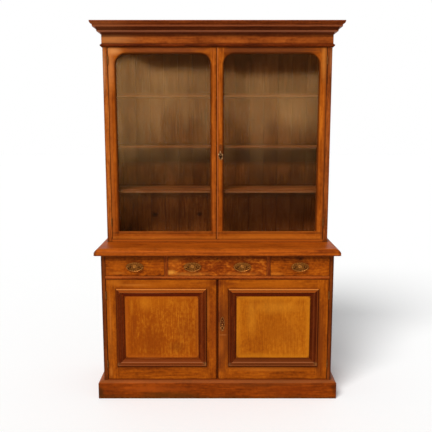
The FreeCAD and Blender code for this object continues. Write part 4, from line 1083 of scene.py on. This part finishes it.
def makePull(name, x, body):
    z = pull["height"]
    face = pull["face"]
    middle = z + pull["lift"]
    shape = bmesh.new()
    addCord(shape, oval(x, z, *pull["rim"], pull["lobes"], 0.05), face, 0.0015, 96)
    addCord(shape, oval(x, middle, *pull["ring"], 8, 0.06), face, 0.0012, 64)
    addBead(shape, x, face, middle, 0.001, pull["shield"][0] / 0.001, 1.9, pull["shield"][1] / 0.001)
    for number in range(14):
        angle = (number + 0.5) * math.pi / 7
        beadX = x + pull["beads"][0] * math.cos(angle)
        addBead(shape, beadX, face, z + pull["beads"][1] * math.sin(angle), 0.0015)
    for side in (-1, 1):
        postX = x + side * pull["post"][0]
        postZ = z + pull["post"][1]
        addCord(shape, oval(postX, postZ, pull["collar"], pull["collar"]), face, 0.0014, 32)
        for petal in range(8):
            angle = petal * math.pi / 4
            petalX = postX + pull["petals"] * math.cos(angle)
            addBead(shape, petalX, face, postZ + pull["petals"] * math.sin(angle), 0.0014)
        for up in (-1, 1):
            out, rise, radius, thick = pull["scroll"]
            path = scroll(x + side * out, z + up * rise, radius, -90 * up, -330 * side * up, 0.75)
            addCord(shape, path, face, thick, 28, whole=False)
            for out, rise, size, wide, turn in pull["leaves"]:
                addBead(shape, x + side * out, face, z + up * rise, size, wide, 0.9, 1.0, side * up * turn)
    for up in (-1, 1):
        for out, rise, size in pull["crest"]:
            addBead(shape, x + out, face, z + up * rise, size)
    return finishPiece(name, shape, castBrass, body)


makePull("left_pull_casting", pullPlaces["left"], "left_drawer")
makePull("centre_left_pull_casting", pullPlaces["centreLeft"], "centre_drawer")
makePull("centre_right_pull_casting", pullPlaces["centreRight"], "centre_drawer")
makePull("right_pull_casting", pullPlaces["right"], "right_drawer")
print("pulls made")

upperKeyPlate = {
    "x": 0.02,
    "face": -0.0335,
    "rim": (1.4765, 0.0117, 0.0228),        # height of the middle and half sizes
    "keyhole": (1.487, 0.0052, 0.0078),
    "beadDepth": 0.7,
    "beads": (                              # off the middle line, height and radius
        (-0.002, 1.5025, 0.0036), (-0.012, 1.4875, 0.0036), (0.012, 1.4845, 0.0036),
        (-0.009, 1.4675, 0.0024), (0.0105, 1.4645, 0.0036), (0.003, 1.458, 0.0022),
        (0.0, 1.5245, 0.0014),
    ),
    "leaves": (),
    "scroll": (0.005, 1.4645, 0.004, 90, -300, 0.0009),
    "brass": {"base": (255, 206, 138), "patina": (70, 34, 12), "wear": 0.75, "hollow": (-0.0353, -0.0344)},
}
baseKeyPlate = {
    "x": 0.02975,
    "face": -0.2455,
    "rim": (0.467, 0.0135, 0.0442),
    "keyhole": (0.443, 0.0055, 0.0082),
    "beadDepth": 0.8,
    "beads": (
        (0.0, 0.491, 0.0028), (0.0, 0.465, 0.0028), (-0.0085, 0.443, 0.0024),
        (0.0085, 0.443, 0.0024), (0.0, 0.428, 0.0026),
    ),
    "leaves": ((0.005, 0.456, 0.0014),),
    "scroll": (0.006, 0.478, 0.005, -90, 300, 0.001),
    "brass": {"base": (228, 152, 78), "patina": (66, 28, 8), "wear": 0.65, "hollow": (-0.2467, -0.2459)},
}


def makeKeyPlate(name, look, brassName, body):
    x, face = look["x"], look["face"]
    scrollX, scrollZ, radius, start, sweep, thick = look["scroll"]
    shape = bmesh.new()
    addCord(shape, oval(x, *look["rim"], 14, 0.05), face, 0.0009, 84)
    addCord(shape, oval(x, *look["keyhole"]), face, 0.001, 32)
    for offX, z, size in look["beads"]:
        addBead(shape, x + offX, face, z, size, 1.0, look["beadDepth"], 1.2)
    for side in (-1, 1):
        for offX, z, size in look["leaves"]:
            addBead(shape, x + side * offX, face, z, size, 3.0, 0.9, 1.0, side * 0.9)
        path = scroll(x + side * scrollX, scrollZ, radius, start, side * sweep, 0.7)
        addCord(shape, path, face, thick, 24, whole=False)
    return finishPiece(name, shape, brassFinish(brassName, look["brass"]), body)


makeKeyPlate("upper_key_plate_beads", upperKeyPlate, "upperBeadBrass", "upper_right_door")
makeKeyPlate("base_key_plate_beads", baseKeyPlate, "baseBeadBrass", "base_right_door")
print("key plates made")

# ---- floor, light and camera ----

studio = {
    "floorSize": 30.0,
    "floorColour": (250, 250, 249),
    "floorLift": (92, 94, 96),       # added to the floor that the camera sees
    "ambient": 0.36,
    "horizon": 1.0,
    "keyPower": 2.5,
    "keyTurn": (44.0, 0.0, -30.0),   # degrees
    "keySoftness": 26.0,             # degrees
}


def makeFloor():
    mesh = bpy.data.meshes.new("floor")
    shape = bmesh.new()
    bmesh.ops.create_grid(shape, x_segments=1, y_segments=1, size=studio["floorSize"])
    shape.to_mesh(mesh)
    shape.free()
    floor = bpy.data.objects.new("floor", mesh)
    bpy.context.scene.collection.objects.link(floor)
    finish = Finish(bpy.data.materials.new("floorPaper"))
    lift = finish.blend(finish.seen(), tint(0, 0, 0), tint(*studio["floorLift"]))
    finish.set(colour=tint(*studio["floorColour"]), roughness=0.9, specular=0.1, glow=lift, glowLevel=1.0)
    mesh.materials.append(finish.owner)


def makeWorld():
    paper = Finish(bpy.data.worlds.new("studio"))
    bpy.context.scene.world = paper.owner
    inputs = {"Value": paper.seen(), "To Min": studio["ambient"], "To Max": studio["horizon"]}
    paper.set(backColour=(1.0, 1.0, 1.0, 1.0), backLevel=paper.add("MapRange", {}, inputs)["Result"])


def makeLight():
    lamp = bpy.data.lights.new("key", "SUN")
    lamp.energy = studio["keyPower"]
    lamp.angle = math.radians(studio["keySoftness"])
    key = bpy.data.objects.new("key", lamp)
    key.rotation_euler = [math.radians(angle) for angle in studio["keyTurn"]]
    bpy.context.scene.collection.objects.link(key)


view = {
    "place": (0.0, -3.7586, 1.669),
    "tilt": 0.15105,                 # radians below level
    "lens": 49.93,
    "shift": -0.00324,
}


def makeCamera():
    camera = bpy.data.cameras.new("camera")
    camera.lens = view["lens"]
    camera.sensor_width = 36.0
    camera.shift_x = view["shift"]
    eye = bpy.data.objects.new("camera", camera)
    eye.location = view["place"]
    eye.rotation_euler = (math.pi / 2 - view["tilt"], 0.0, 0.0)
    bpy.context.scene.collection.objects.link(eye)
    bpy.context.scene.camera = eye


makeFloor()
makeWorld()
makeLight()
makeCamera()
bpy.context.scene.view_settings.view_transform = "Standard"
print("studio ready")
